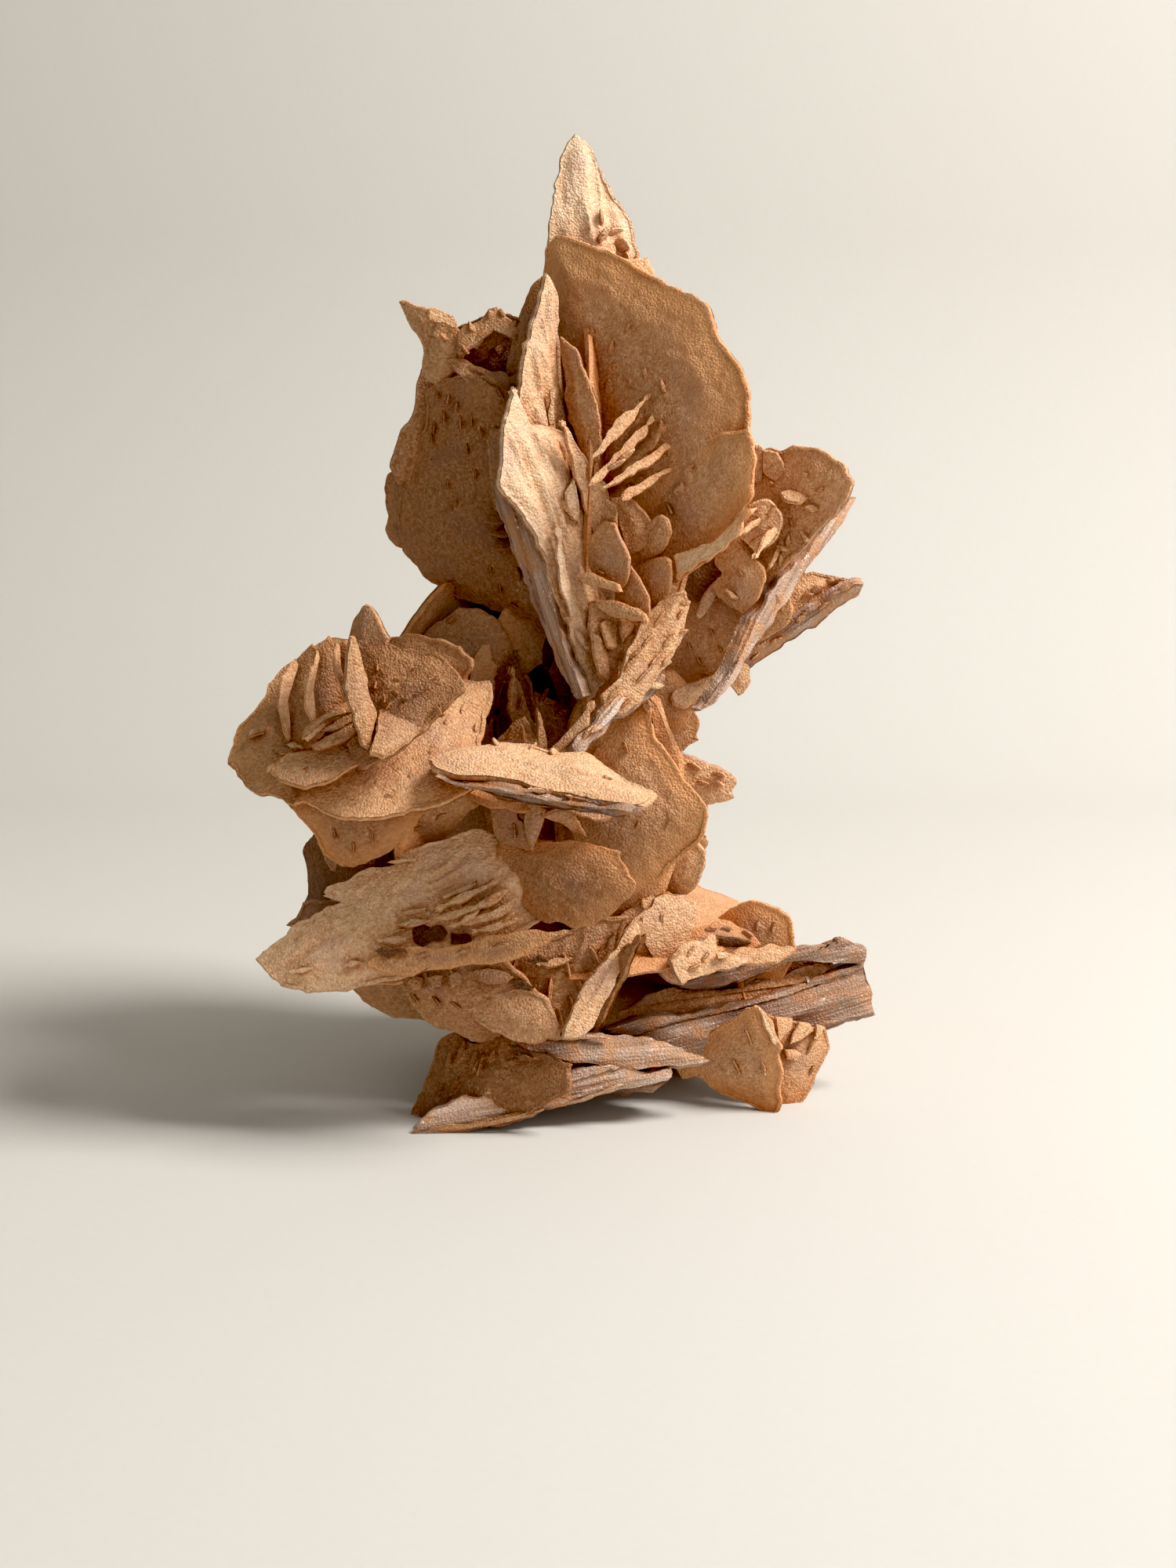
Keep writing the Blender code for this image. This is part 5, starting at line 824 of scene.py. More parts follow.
BASE_GROWTHS = [
    Chip(-10, 0, 0.3, 1.2, "deep_shade", [(-13, 11.2), (-11, 11), (-9.4, 10), (-7.8, 8.6), (-8.3, 7.2), (-10, 8.3),
         (-12, 9.8)]),
    Chip(0, -15, 0.7, 1.2, "pale", [(-28, -2.9), (-24, -2.4), (-18, -2.3), (-12, -1.2), (-7, 0.4), (-12, -1.7),
         (-18, -3.1), (-24, -3.6)]),
    Chip(0, -15, 0.7, 1.2, "pale", [(-5.6, 0.9), (-1, 2), (3, 3.6), (5.6, 4.6), (2, 2.8), (-2, 1.2)]),
    Chip(0, 10, 0.6, 1.2, "pale", [(-8.8, 12.5), (-4, 12.9), (0.6, 13), (3.6, 12.3), (-1, 12), (-6, 11.9)]),
    Chip(35, 0, 0.9, 1.2, "pale", [(27.6, 17.6), (28.6, 16.9), (30, 14.6), (31.2, 11.6), (31.6, 10), (30.6, 11),
         (29.2, 13.8)]),
    Chip(25, 20, 1.3, 2.0, "", [(30.6, 15.8), (33.4, 15.6), (33.2, 14), (32, 12.2), (31.3, 11), (30.6, 12.8)]),
    Chip(25, 20, 1.3, 2.0, "", [(34.2, 15.2), (36.2, 14.8), (37, 13.4), (35.6, 12.4), (34.2, 11.4), (32.8, 11),
         (33.2, 13)]),
    Chip(25, 20, 1.1, 2.0, "", [(37.2, 14.5), (38.7, 14.3), (38.2, 12.6), (36.8, 11.8)]),
    Chip(20, 20, 1.1, 2.0, "", [(32, 10.4), (34, 10.6), (35.2, 9.6), (34, 8.2), (32.2, 8.4)]),
    Chip(20, 20, 1.1, 1.6, "", [(20.6, 26.6), (21.8, 27), (23.6, 26.4), (22.6, 25.6), (21, 25.6)]),
    Chip(10, -30, 0.4, 1.4, "deep_shade", [(20.6, 29.4), (23.5, 29.2), (27, 28.4), (24.5, 27.6), (21.4, 27.8)]),
    Chip(0, 30, 0.6, 1.4, "glitter", [(35.4, 22.4), (36, 22.6), (36.4, 21.8), (35.8, 21.4)]),
    Chip(0, 10, 0.5, 1.4, "glitter", [(24.2, 21.4), (26.6, 22.4), (28.4, 24.4), (27, 22), (25, 20.8)]),
    *map(Sprout._make, (
        (-21, 9, 80, 15, 50, 4, 1.2), (-23, 7, 80, 15, 50, 4, 1.2), (-19, 7, 85, 15, 50, 4, 1.2),
        (-22, 3.5, 70, 15, 50, 3.5, 1.2), (-24.5, 2.5, 60, 15, 50, 3.5, 1.2), (-15.8, 8.8, 60, 25, 50, 3, 1.2),
        (-11.8, 9, -40, 25, 60, 5.5, 1.2), (-17, 9.5, -80, 20, 60, 5, 1.6), (-13, 8, 20, 20, 50, 3, 1.2),
        (14, 26, 40, 20, 60, 2.4, 1), (17, 24, 30, 25, 60, 2.6, 1.2), (19, 25.6, 60, 25, 60, 2.4, 1.2),
        (16.5, 26.5, 60, 20, 60, 2.4, 1), (22, 30.5, 10, 20, 50, 2.6, 1.2), (19.5, 30.4, 20, 20, 50, 2.6, 1.2),
        (25.5, 29.8, -20, 20, 50, 2.4, 1.2), (27.5, 31, 80, 12, 50, 2.4, 1), (30, 30.5, 80, 12, 50, 2.4, 1),
        (36, 10, 60, 15, 50, 2.4, 1), (36.5, 6.5, 60, 15, 50, 2.4, 1), (26, 13, -60, 12, 50, 3, 1),
        (24, 8, -50, 12, 50, 3, 1), (28.5, 8, -70, 12, 50, 3, 1),
    )),
]

BACK = [
    Leaf("back_crown_disc", 205, 6, (1, 35, 120), 40, 32, 15, 7),
    Leaf("back_shoulder_shelf", 190, 58, (-2, 42, 100), 24, 38, 0, 6),
    Leaf("back_left_disc", 225, -8, (-15, 35, 98), 42, 34, -20, 7),
    Leaf("back_right_disc", 150, 10, (13, 37, 92), 40, 30, 25, 7),
    Leaf("back_left_lobe", 235, 25, (-24, 30, 68), 44, 34, 30, 7),
    Leaf("back_lobe_shelf", 175, 62, (-12, 42, 66), 24, 46, 0, 6),
    Leaf("back_right_waist", 140, -12, (4, 38, 58), 38, 28, 0, 7),
    Leaf("back_waist_disc", 170, 15, (-8, 48, 52), 40, 34, 60, 7),
    Leaf("back_low_left", 215, -15, (-22, 34, 42), 42, 34, 20, 7),
    Leaf("back_low_shelf", 185, 55, (-4, 46, 34), 28, 54, 0, 7),
    Leaf("back_low_right", 150, -10, (8, 36, 22), 40, 24, 90, 7),
    Leaf("back_foot", 180, 25, (-4, 40, 11), 30, 36, 0, 9),
    Leaf("back_foot_right", 125, -20, (16, 30, 12), 34, 24, 20, 6),
]

FINS = [
    Leaf("back_crown_blade", 120, -4, (7, 39, 110), 44, 24, 10, 5),
    Leaf("back_middle_blade", 275, 0, (-2, 46, 82), 46, 26, 8, 5),
    Leaf("back_low_blade", 80, 5, (-6, 46, 24), 36, 26, -10, 5),
    Leaf("side_left", 265, 10, (-34, 14, 56), 34, 26, 0, 6),
    Leaf("side_left_low", 250, -10, (-30, 12, 30), 34, 24, 80, 6),
    Leaf("side_right_low", 95, 10, (25, 20, 17), 26, 20, 60, 6),
    Leaf("side_crown", 110, 10, (10, 26, 122), 34, 20, 0, 6),
]

# Where nests of small blades stand on the back, and the sprouts of one nest
BACK_NESTS = ((3, 124), (-3, 109), (-14, 92), (11, 84), (-22, 60), (5, 49), (-10, 41), (-21, 32), (4, 22),
              (-5, 9))
NEST_SPROUTS = (Sprout(-2.5, 1, 150, 30, 40, 6, 4), Sprout(0.5, 2.5, 80, 35, 60, 7, 3.6),
                Sprout(2.5, 0, 20, 30, 30, 6, 4.4), Sprout(0, -2.5, -70, 40, 50, 6, 4),
                Sprout(-1, 0, 120, 60, 20, 4, 3), Sprout(4.5, 3, 50, 30, 70, 4, 2.4))
NEST_SWING = 40

HEART = [
    Leaf("heart_upright", 90, 0, (0, 18, 84), 96, 36, 0, 14),
    Leaf("heart_cross", 30, 0, (-4, 18, 62), 60, 40, 20, 14),
    Leaf("heart_waist", -12, 0, (5, 3, 51), 44, 22, 0, 15),
    Leaf("heart_nest", -10, 0, (8, 7, 91), 24, 18, 0, 21),
    Leaf("hollow_floor", 0, 75, (-9, 0, 57), 32, 28, 0, 7),
    Leaf("heart_left", 60, 10, (-22, 6, 50), 40, 30, 60, 13),
    Leaf("heart_stem", 90, 0, (-2, 20, 42), 60, 42, 0, 14),
    Leaf("heart_low", 0, 80, (-2, 16, 28), 46, 62, 0, 14),
    Leaf("heart_base", 0, 80, (0, 14, 12), 34, 44, 0, 14),
    Leaf("heart_upper", -60, 0, (2, 18, 112), 50, 28, 0, 13),
]


def soft_noise(points, size, seed):
    """Smooth seeded noise from -1 to 1, whose lumps are about size across; points are rows of x, y, z."""
    cell = np.asarray(points, float) / size
    low = np.floor(cell).astype(np.int64)
    part = cell - low
    part = part * part * (3.0 - 2.0 * part)
    total = np.zeros(len(cell))
    for corner in itertools.product((0, 1), repeat=3):
        grid = low + corner
        mixed = grid[:, 0] * 73856093 ^ grid[:, 1] * 19349663 ^ grid[:, 2] * 83492791 ^ (seed * 2654435761)
        mixed = (mixed ^ (mixed >> 13)) * 1274126177 & 0x7FFFFFFF
        value = ((mixed >> 7) & 0xFFFF) / 32767.5 - 1.0
        weight = np.prod(np.where(corner, part, 1.0 - part), axis=1)
        total += value * weight
    return total


def stretched_noise(first, second, third, seed):
    """Seeded noise over three measures, each already divided by the size of its lumps."""
    return soft_noise(np.stack(np.broadcast_arrays(first, second, third), axis=1), 1.0, seed)


def smooth_step(low, high, value):
    """Rise softly from 0 at low to 1 at high."""
    share = np.clip((value - low) / (high - low), 0.0, 1.0)
    return share * share * (3.0 - 2.0 * share)


def blade_axes(turn, tilt):
    """Face, sideways and upward directions of a blade's plane."""
    turn = math.radians(turn)
    tilt = math.radians(tilt)
    face = Vector((math.sin(turn) * math.cos(tilt), -math.cos(turn) * math.cos(tilt), math.sin(tilt)))
    side = Vector((math.cos(turn), math.sin(turn), 0.0))
    return face, side, face.cross(side)


def drawn_rim(blade):
    """Carry a blade's drawn outline along the sight lines onto its plane: the plane's middle and the rim in it."""
    face, side, up = blade_axes(blade.turn, blade.tilt)
    drawn = [Vector((x, 0.0, z)) for x, z in blade.outline]
    drawn_middle = sum(drawn, Vector()) / len(drawn)
    sight = drawn_middle - EYE
    middle = EYE + sight * ((blade.deep - EYE.y) / sight.y)
    rim = []
    for point in drawn:
        sight = point - EYE
        offset = EYE + sight * ((middle - EYE).dot(face) / sight.dot(face)) - middle
        rim.append((offset.dot(side), offset.dot(up)))
    return middle, np.array(rim)


def leaf_rim(leaf):
    """Rim of a leaf in its own plane: an ellipse with slightly pointed ends."""
    angles = np.arange(LEAF_POINTS) * math.tau / LEAF_POINTS
    reach = 0.5 * leaf.length * np.cos(angles)
    spread = 0.5 * leaf.width * np.sin(angles) * (1.0 - 0.12 * np.cos(angles) ** 2)
    roll = math.radians(leaf.roll)
    rim = np.stack((reach * math.sin(roll) + spread * math.cos(roll),
                    reach * math.cos(roll) - spread * math.sin(roll)), axis=1)
    return Vector(leaf.centre), rim


def even_loop(points, spacing):
    """A closed curve through the points, evenly stepped: round where they turn gently, pointed at corners."""
    following = np.roll(points, -1, axis=0) - points
    lengths = np.linalg.norm(following, axis=1)
    leaving = following / lengths[:, None]
    arriving = np.roll(leaving, 1, axis=0)
    before = np.roll(lengths, 1)
    heading = arriving * lengths[:, None] + leaving * before[:, None]
    heading /= np.maximum(np.linalg.norm(heading, axis=1), 1e-6)[:, None]
    turning = np.degrees(np.arccos(np.clip(np.sum(arriving * leaving, axis=1), -1.0, 1.0)))
    softness = np.clip(1.15 - turning / 65.0, 0.0, 1.0)
    share = np.linspace(0.0, 1.0, CURVE_STEPS, endpoint=False)[:, None]
    curve = []
    for step in range(len(points)):
        after = (step + 1) % len(points)
        start = heading[step] * lengths[step] * softness[step]
        stop = heading[after] * lengths[step] * softness[after]
        curve.append((2 * share ** 3 - 3 * share ** 2 + 1) * points[step]
                     + (share ** 3 - 2 * share ** 2 + share) * start
                     + (3 * share ** 2 - 2 * share ** 3) * points[after]
                     + (share ** 3 - share ** 2) * stop)
    curve = np.concatenate(curve)
    closed = np.concatenate((curve, curve[:1]))
    travelled = np.concatenate(([0.0], np.cumsum(np.linalg.norm(np.diff(closed, axis=0), axis=1))))
    count = RIM_STEP * int(np.ceil(travelled[-1] / spacing / RIM_STEP))
    count = int(np.clip(count, MIN_RIM_STEPS, MAX_RIM_STEPS))
    stops = np.linspace(0.0, travelled[-1], count, endpoint=False)
    loop = np.stack((np.interp(stops, travelled, closed[:, 0]), np.interp(stops, travelled, closed[:, 1])), axis=1)
    turned = np.roll(loop, -1, axis=0)
    area = np.sum(loop[:, 0] * turned[:, 1] - loop[:, 1] * turned[:, 0])
    return loop if area > 0.0 else loop[::-1]


def outward(loop):
    """Outward direction at each point of a closed loop that runs anticlockwise."""
    along = np.roll(loop, -1, axis=0) - np.roll(loop, 1, axis=0)
    along /= np.maximum(np.linalg.norm(along, axis=1), 1e-6)[:, None]
    return np.stack((along[:, 1], -along[:, 0]), axis=1)


def rim_distance(points, loop):
    """Distance of each point from the loop's edge."""
    run = np.roll(loop, -1, axis=0) - loop
    offset = points[:, None, :] - loop[None, :, :]
    share = np.clip(np.sum(offset * run, axis=2) / np.maximum(np.sum(run * run, axis=1), 1e-9), 0.0, 1.0)
    gap = offset - share[:, :, None] * run
    return np.sqrt(np.min(np.sum(gap * gap, axis=2), axis=1))


def fibre_measures(look, flat):
    """Measures along and across a blade's relief, of points in its plane."""
    bearing = math.radians(look.bearing)
    along = flat[:, 0] * math.cos(bearing) + flat[:, 1] * math.sin(bearing)
    across = flat[:, 1] * math.cos(bearing) - flat[:, 0] * math.sin(bearing)
    return along, across


def face_relief(look, flat, place, inset, seed):
    """How far a blade's face stands out, in millimetres, at points in its plane (flat) and in space (place)."""
    along, across = fibre_measures(look, flat)
    fine = 0.13 * soft_noise(place, 1.2, seed + 1) + 0.07 * soft_noise(place, 0.7, seed + 2)
    broad = 0.3 * soft_noise(place, 8.0, seed + 3)
    if look.relief == "grainy":
        coarse = 0.16 * soft_noise(place, 2.4, seed + 4)
        return broad + (fine + coarse) * smooth_step(0.4, 4.0, inset)
    if look.relief == "fluted":
        fold = stretched_noise(along / 9.0, across / 1.5, 0.0, seed + 5)
        ridge = stretched_noise(along / 6.0, across / 0.9, 0.0, seed + 6)
        flutes = 0.45 * (1.0 - 2.0 * np.abs(fold)) + 0.18 * ridge
        return broad + fine * 0.7 + flutes * smooth_step(0.3, 2.0, inset)
    if look.relief == "rippled":
        bend = across + 1.6 * soft_noise(place, 6.0, seed + 7)
        wave = stretched_noise(along / 7.0, bend / 1.7, 0.0, seed + 8)
        return broad + fine + 0.75 * (0.5 - np.abs(wave)) * smooth_step(1.0, 4.0, inset)
    if look.relief == "striated":
        shelf = across / 2.2 + 0.5 * stretched_noise(along / 16.0, across / 5.0, 0.0, seed)
        ledge = np.floor(shelf) + smooth_step(0.72, 1.0, shelf - np.floor(shelf))
        fibre = stretched_noise(along / 12.0, across / 0.8, 0.0, seed + 9)
        step = stretched_noise(0.0, np.floor(ledge) * 3.7, 0.0, seed + 10)
        return 0.3 * step + 0.13 * fibre + 0.05 * fine
    return broad * 0.4 + fine * 0.35


def ball_template(count, rings):
    """Points and polygons of a round ball with so many steps round it and rings down it, as a fresh mesh."""
    name = f"ball_{count}_{rings}"
    kept = bpy.data.meshes.get(name)
    if kept is None:
        bm = bmesh.new()
        bmesh.ops.create_uvsphere(bm, u_segments=count, v_segments=rings, radius=1.0)
        kept = bpy.data.meshes.new(name)
        bm.to_mesh(kept)
        bm.free()
    return kept.copy()


def fine_blade(name, middle, axes, rim, thick, edge, look, seed, spacing=SPACING):
    """One blade as a closed ball whose rings follow its rim, with growth steps, ripples and broken walls."""
    face, side, up = (np.array(axis) for axis in axes)
    middle = np.array(middle)
    loop = even_loop(rim, spacing)
    count = len(loop)
    rim_place = middle + loop[:, :1] * side + loop[:, 1:] * up
    small = min(1.0, math.sqrt(np.ptp(loop[:, 0]) * np.ptp(loop[:, 1])) / FULL_SCALLOP_SIZE)
    wave = SCALLOP * small * soft_noise(rim_place, WAVE, seed + 20)
    nick = SCALLOP * (0.35 + 0.4 * small) * (0.8 * soft_noise(rim_place, NICK, seed + 21)
                                             + 0.6 * soft_noise(rim_place, TOOTH, seed + 22))
    loop = loop + outward(loop) * (wave + nick - 0.1)[:, None]
    reach_mm = float(np.mean(np.linalg.norm(loop, axis=1)))
    thick *= PLATE_SHARE[edge]
    wall = min(WALL[edge], WALL_SHARE * thick)
    broken = edge in (BROKEN, FLAT)
    face_rings = RING_STEP * int(np.clip(np.ceil(reach_mm / spacing / RING_STEP), 2, MAX_FACE_RINGS // RING_STEP))
    wall_rings = 2 * int(np.clip(round(0.5 * wall / (0.7 * spacing)), 2 if spacing < 1.0 else 1, 5))
    rings = 2 * face_rings + wall_rings
    mesh = ball_template(count, rings)
    mesh.name = name
    ball = np.empty(len(mesh.vertices) * 3, np.float32)
    mesh.vertices.foreach_get("co", ball)
    ball = ball.reshape(-1, 3)
    ring = np.rint(np.arccos(np.clip(ball[:, 2], -1.0, 1.0)) / math.pi * rings).astype(int)
    step = np.rint(np.arctan2(ball[:, 1], ball[:, 0]) / math.tau * count).astype(int) % count
    front = ring < face_rings
    behind = ring > face_rings + wall_rings
    on_face = front | behind
    nearness = np.where(front, ring, rings - ring) / face_rings
    reach = np.where(on_face, 1.0 - (1.0 - np.clip(nearness, 0.0, 1.0)) ** RING_CROWDING, 1.0)
    flat = loop[step] * reach[:, None]
    inset = np.where(reach < 1.0, rim_distance(flat, loop), 0.0)
    body = 0.5 * (thick - wall)
    half = 0.5 * wall + body * (1.0 - np.exp(-FACE_SLOPE * inset / body))
    level = np.clip(1.0 - 2.0 * (ring - face_rings) / wall_rings, -1.0, 1.0) * half
    flat_place = middle + flat[:, :1] * side + flat[:, 1:] * up
    place = flat_place + level[:, None] * face
    relief = face_relief(look, flat, place, inset, seed)
    if not broken:
        contour = inset + 1.1 * soft_noise(flat_place, 6.0, seed + 30)
        strength = min(1.0, thick / 6.0) * (0.6 + 0.4 * soft_noise(flat_place, 9.0, seed + 35))
        outer, inner = (smooth_step(*edges, contour) - 1.0 for edges in GROWTH_STEPS)
        relief += (outer * 0.2 + inner * 0.3) * strength
        relief *= smooth_step(0.0, 0.8, inset)
    relief = np.maximum(relief, 0.2 - half)
    signed = np.where(front, relief, -relief) * on_face
    warp = (WARP * small * soft_noise(flat_place, 15.0, seed + 31)
            + 0.12 * small * soft_noise(flat_place, 4.0, seed + 32))
    place = place + (signed + warp)[:, None] * face
    direction = outward(loop)[step]
    height = level / max(0.5 * wall, 1e-6)
    if broken:
        layers = stretched_noise(flat[:, 0] / 14.0, level / 0.8, flat[:, 1] / 14.0, seed + 33)
        push = 0.32 * layers + 0.3 * soft_noise(place, 1.8, seed + 34)
        push = push * (1.0 - smooth_step(0.0, 0.8, inset)) * small
    else:
        rounding = RIM_BULGE * wall * (np.sqrt(np.clip(1.0 - np.clip(height, -1.0, 1.0) ** 2, 0.0, 1.0)) - 1.0)
        push = np.where(inset < 1e-6, rounding + 0.14 * soft_noise(place, 1.3, seed + 34), 0.0)
    place = place + push[:, None] * (direction[:, :1] * side + direction[:, 1:] * up)
    place = (place + np.array(BOARD_ORIGIN)) * MM
    mesh.vertices.foreach_set("co", place.astype(np.float32).ravel())
    # The rim's honey band: partly clear gypsum, partly a painted glow of light through the thin rim
    margin = min(GLOWING_RIM_REACH, 0.45 * float(inset.max()))
    clear = np.zeros(len(inset)) if broken else np.exp(-(inset / margin) ** 2) * look.band
    store_point(mesh, "clear_rim", clear)
    # The tone: partly the blade's own colour, partly painted shade and light
    store_point(mesh, "tone", np.full(len(inset), look.tone))
    store_streaks(mesh, look, flat, level, ring, face_rings, wall_rings, broken)
    return mesh


def store_point(mesh, name, values):
    """Keep one number for each vertex."""
    attribute = mesh.attributes.new(name, "FLOAT", "POINT")
    attribute.data.foreach_set("value", np.asarray(values, np.float32))


def store_streaks(mesh, look, flat, level, ring, face_rings, wall_rings, broken):
    """Keep the direction of the fibres at each face corner, in millimetres along, across and through."""
    on_face = np.stack((*fibre_measures(look, flat), np.zeros(len(flat))), axis=1)
    on_wall = np.stack((flat[:, 0], level, flat[:, 1]), axis=1)
    corners = np.empty(len(mesh.loops), np.int32)
    mesh.loops.foreach_get("vertex_index", corners)
    starts = np.empty(len(mesh.polygons), np.int32)
    mesh.polygons.foreach_get("loop_start", starts)
    totals = np.empty(len(mesh.polygons), np.int32)
    mesh.polygons.foreach_get("loop_total", totals)
    lowest = np.minimum.reduceat(ring[corners], starts)
    highest = np.maximum.reduceat(ring[corners], starts)
    walls = (lowest >= face_rings) & (highest <= face_rings + wall_rings)
    wall_corners = np.repeat(walls, totals)
    streak = np.where(wall_corners[:, None], on_wall[corners], on_face[corners])
    attribute = mesh.attributes.new("streak", "FLOAT_VECTOR", "CORNER")
    attribute.data.foreach_set("vector", streak.astype(np.float32).ravel())
    finish = np.where((walls & broken) | (look.cleaved > 0.5), 1, 0)
    mesh.polygons.foreach_set("material_index", finish.astype(np.int32))


def add_mesh_object(name, mesh, collection):
    """Link a mesh into a collection as a new object at the origin."""
    obj = bpy.data.objects.new(name, mesh)
    collection.objects.link(obj)
    return obj


def shell_volume(faces):
    """Signed volume of one closed shell: positive outside skins, negative round sealed hollows."""
    volume = 0.0
    for face in faces:
        first = face.verts[0].co
        for one, two in zip(face.verts[1:], face.verts[2:]):
            volume += first.dot(one.co.cross(two.co)) / 6.0
    return volume


def fill_sealed_hollows(bm):
    """Remove the inward shells, which line hollows that nothing can reach or see."""
    unseen = set(bm.faces)
    while unseen:
        shell = [unseen.pop()]
        for face in shell:
            for edge in face.edges:
                for other in edge.link_faces:
                    if other in unseen:
                        unseen.discard(other)
                        shell.append(other)
        if shell_volume(shell) < 0.0:
            bmesh.ops.delete(bm, geom=shell, context="FACES")


def ground_block(collection):
    """The block below the floor that cuts the feet flat."""
    bm = bmesh.new()
    bmesh.ops.create_cube(bm, size=GROUND_BLOCK)
    bmesh.ops.translate(bm, vec=(0.0, 0.0, -0.5 * GROUND_BLOCK), verts=bm.verts)
    mesh = bpy.data.meshes.new("ground_block")
    bm.to_mesh(mesh)
    bm.free()
    return add_mesh_object("ground_block", mesh, collection)


def sight_target(x, z):
    """The frame's place of a point of the drawing board, in metres."""
    return (Vector((x, 0.0, z)) + BOARD_ORIGIN) * MM


def sprout_blade(index, sprout, place, normal, sight, tone):
    """A pointed little blade that stands on the face it grew on."""
    heading = math.radians(sprout.heading)
    lift = math.radians(sprout.lift)
    sideways = sight.cross(Vector((0.0, 0.0, 1.0))).normalized()
    aim = sideways * math.cos(heading) + Vector((0.0, 0.0, math.sin(heading)))
    lying = (aim - normal * aim.dot(normal)).normalized()
    along = lying * math.cos(lift) + normal * math.sin(lift)
    flat = (normal - along * normal.dot(along)).normalized()
    face = Matrix.Rotation(math.radians(sprout.twist), 3, along) @ flat
    angles = np.arange(SPROUT_POINTS) * math.tau / SPROUT_POINTS
    taper = 1.0 - 0.35 * np.cos(angles) - 0.25 * np.cos(angles) ** 2
    rim = np.stack((0.5 * sprout.length * np.cos(angles), 0.5 * sprout.width * np.sin(angles) * taper), axis=1)
    middle = place / MM - BOARD_ORIGIN + along * (0.5 * sprout.length - SPROUT_ROOT)
    thick = min(2.6, 0.3 * sprout.width + 0.7)
    look = GROWN._replace(tone=tone)
    axes = (face, along, face.cross(along))
    return fine_blade(f"sprout_{index}", middle, axes, rim, thick, THIN, look, SPROUT_SEED + index,
                      SPROUT_SPACING)


def chip_blade(index, chip, place, tone):
    """A small drawn blade just proud of the place on the rose that its middle's sight line meets."""
    deep = place.y / MM - BOARD_ORIGIN.y - chip.proud
    blade = Blade(f"chip_{index}", chip.turn, chip.tilt, deep, chip.thick, THIN, chip.outline)
    middle, rim = drawn_rim(blade)
    look = LOOKS[chip.look] if chip.look else GROWN._replace(tone=tone)
    edge = BROKEN if look.cleaved > 0.5 else THIN
    return fine_blade(blade.name, middle, blade_axes(chip.turn, chip.tilt), rim, chip.thick, edge, look,
                      CHIP_SEED + index, SPROUT_SPACING)


def small_blades(blades, meshes, growths, eye):
    """Grow sprouts and chips on larger blades, where the sight lines from the eye meet them."""
    points = []
    polygons = []
    owners = []
    for blade, mesh in zip(blades, meshes):
        first = len(points)
        points.extend(vert.co.copy() for vert in mesh.vertices)
        polygons.extend([first + corner for corner in face.vertices] for face in mesh.polygons)
        owners.extend([blade.name] * len(mesh.polygons))
    tree = BVHTree.FromPolygons(points, polygons)
    start = sight_target(0.0, 0.0) + eye * MM
    grown = []
    for index, growth in enumerate(growths):
        if isinstance(growth, Sprout):
            x, z = growth.x, growth.z
        else:
            x = sum(point[0] for point in growth.outline) / len(growth.outline)
            z = sum(point[1] for point in growth.outline) / len(growth.outline)
        sight = (sight_target(x, z) - start).normalized()
        place, normal, hit, _ = tree.ray_cast(start, sight)
        if place is None:
            raise ValueError(f"the small blade at {x:.1f}, {z:.1f} meets no larger one")
        tone = LOOKS.get(owners[hit], GROWN).tone
        if isinstance(growth, Sprout):
            grown.append(sprout_blade(index, growth, place, normal, sight, tone))
        else:
            grown.append(chip_blade(index, growth, place, tone))
    return grown


def grow_piece(name, blades, growths=(), spacing=SPACING, eye=EYE):
    """Join blades into one closed skin, cut it flat at the floor, and let it ride on the rose's body."""
    scene = bpy.context.scene
    helpers = bpy.data.collections.new("blades_of_" + name)
    scene.collection.children.link(helpers)
    meshes = [blade_mesh(blade, spacing) for blade in blades]
    if growths:
        meshes += small_blades(blades, meshes, growths, eye)
    finishes = rose_finishes()
    for mesh in meshes:
        for finish in finishes:
            mesh.materials.append(finish)
    joined = add_mesh_object(name + "_join", meshes[0], scene.collection)
    for mesh in meshes[1:]:
        add_mesh_object(mesh.name, mesh, helpers)
    union = joined.modifiers.new("join_blades", "BOOLEAN")
    union.operation = "UNION"
    union.solver = "MANIFOLD"
    union.operand_type = "COLLECTION"
    union.collection = helpers
    block = ground_block(scene.collection)
    cut = joined.modifiers.new("flat_feet", "BOOLEAN")
    cut.operation = "DIFFERENCE"
    cut.solver = "MANIFOLD"
    cut.object = block
    graph = bpy.context.evaluated_depsgraph_get()
    skin = bpy.data.meshes.new_from_object(joined.evaluated_get(graph))
    for helper in [joined, block] + list(helpers.objects):
        bpy.data.objects.remove(helper)
    bpy.data.collections.remove(helpers)
    for mesh in meshes:
        bpy.data.meshes.remove(mesh)
    bm = bmesh.new()
    bm.from_mesh(skin)
    fill_sealed_hollows(bm)
    bm.to_mesh(skin)
    bm.free()
    skin.name = name
    skin.shade_smooth()
    skin.set_sharp_from_angle(angle=math.radians(SHARP_CREASE))
    piece = add_mesh_object(name, skin, scene.collection)
    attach(piece, BODY)
    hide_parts(NODE)


def blade_mesh(blade, spacing):
    """The fine mesh of one blade or leaf."""
    seed = sum(ord(letter) * (place + 1) for place, letter in enumerate(blade.name))
    axes = blade_axes(blade.turn, blade.tilt)
    if isinstance(blade, Leaf):
        (middle, rim), edge, usual = leaf_rim(blade), SHARP, LEAF_LOOK
    else:
        (middle, rim), edge, usual = drawn_rim(blade), blade.rim, GROWN
    look = LOOKS.get(blade.name.rstrip("_0123456789"), usual)
    return fine_blade(blade.name, middle, axes, rim, blade.thick, edge, look, seed, spacing)


def linear_colour(text):
    """A #RRGGBB colour as linear red, green, blue and alpha."""
    channels = []
    for place in (1, 3, 5):
        value = int(text[place:place + 2], 16) / 255.0
        channels.append(value / 12.92 if value <= 0.04045 else ((value + 0.055) / 1.055) ** 2.4)
    return (*channels, 1.0)


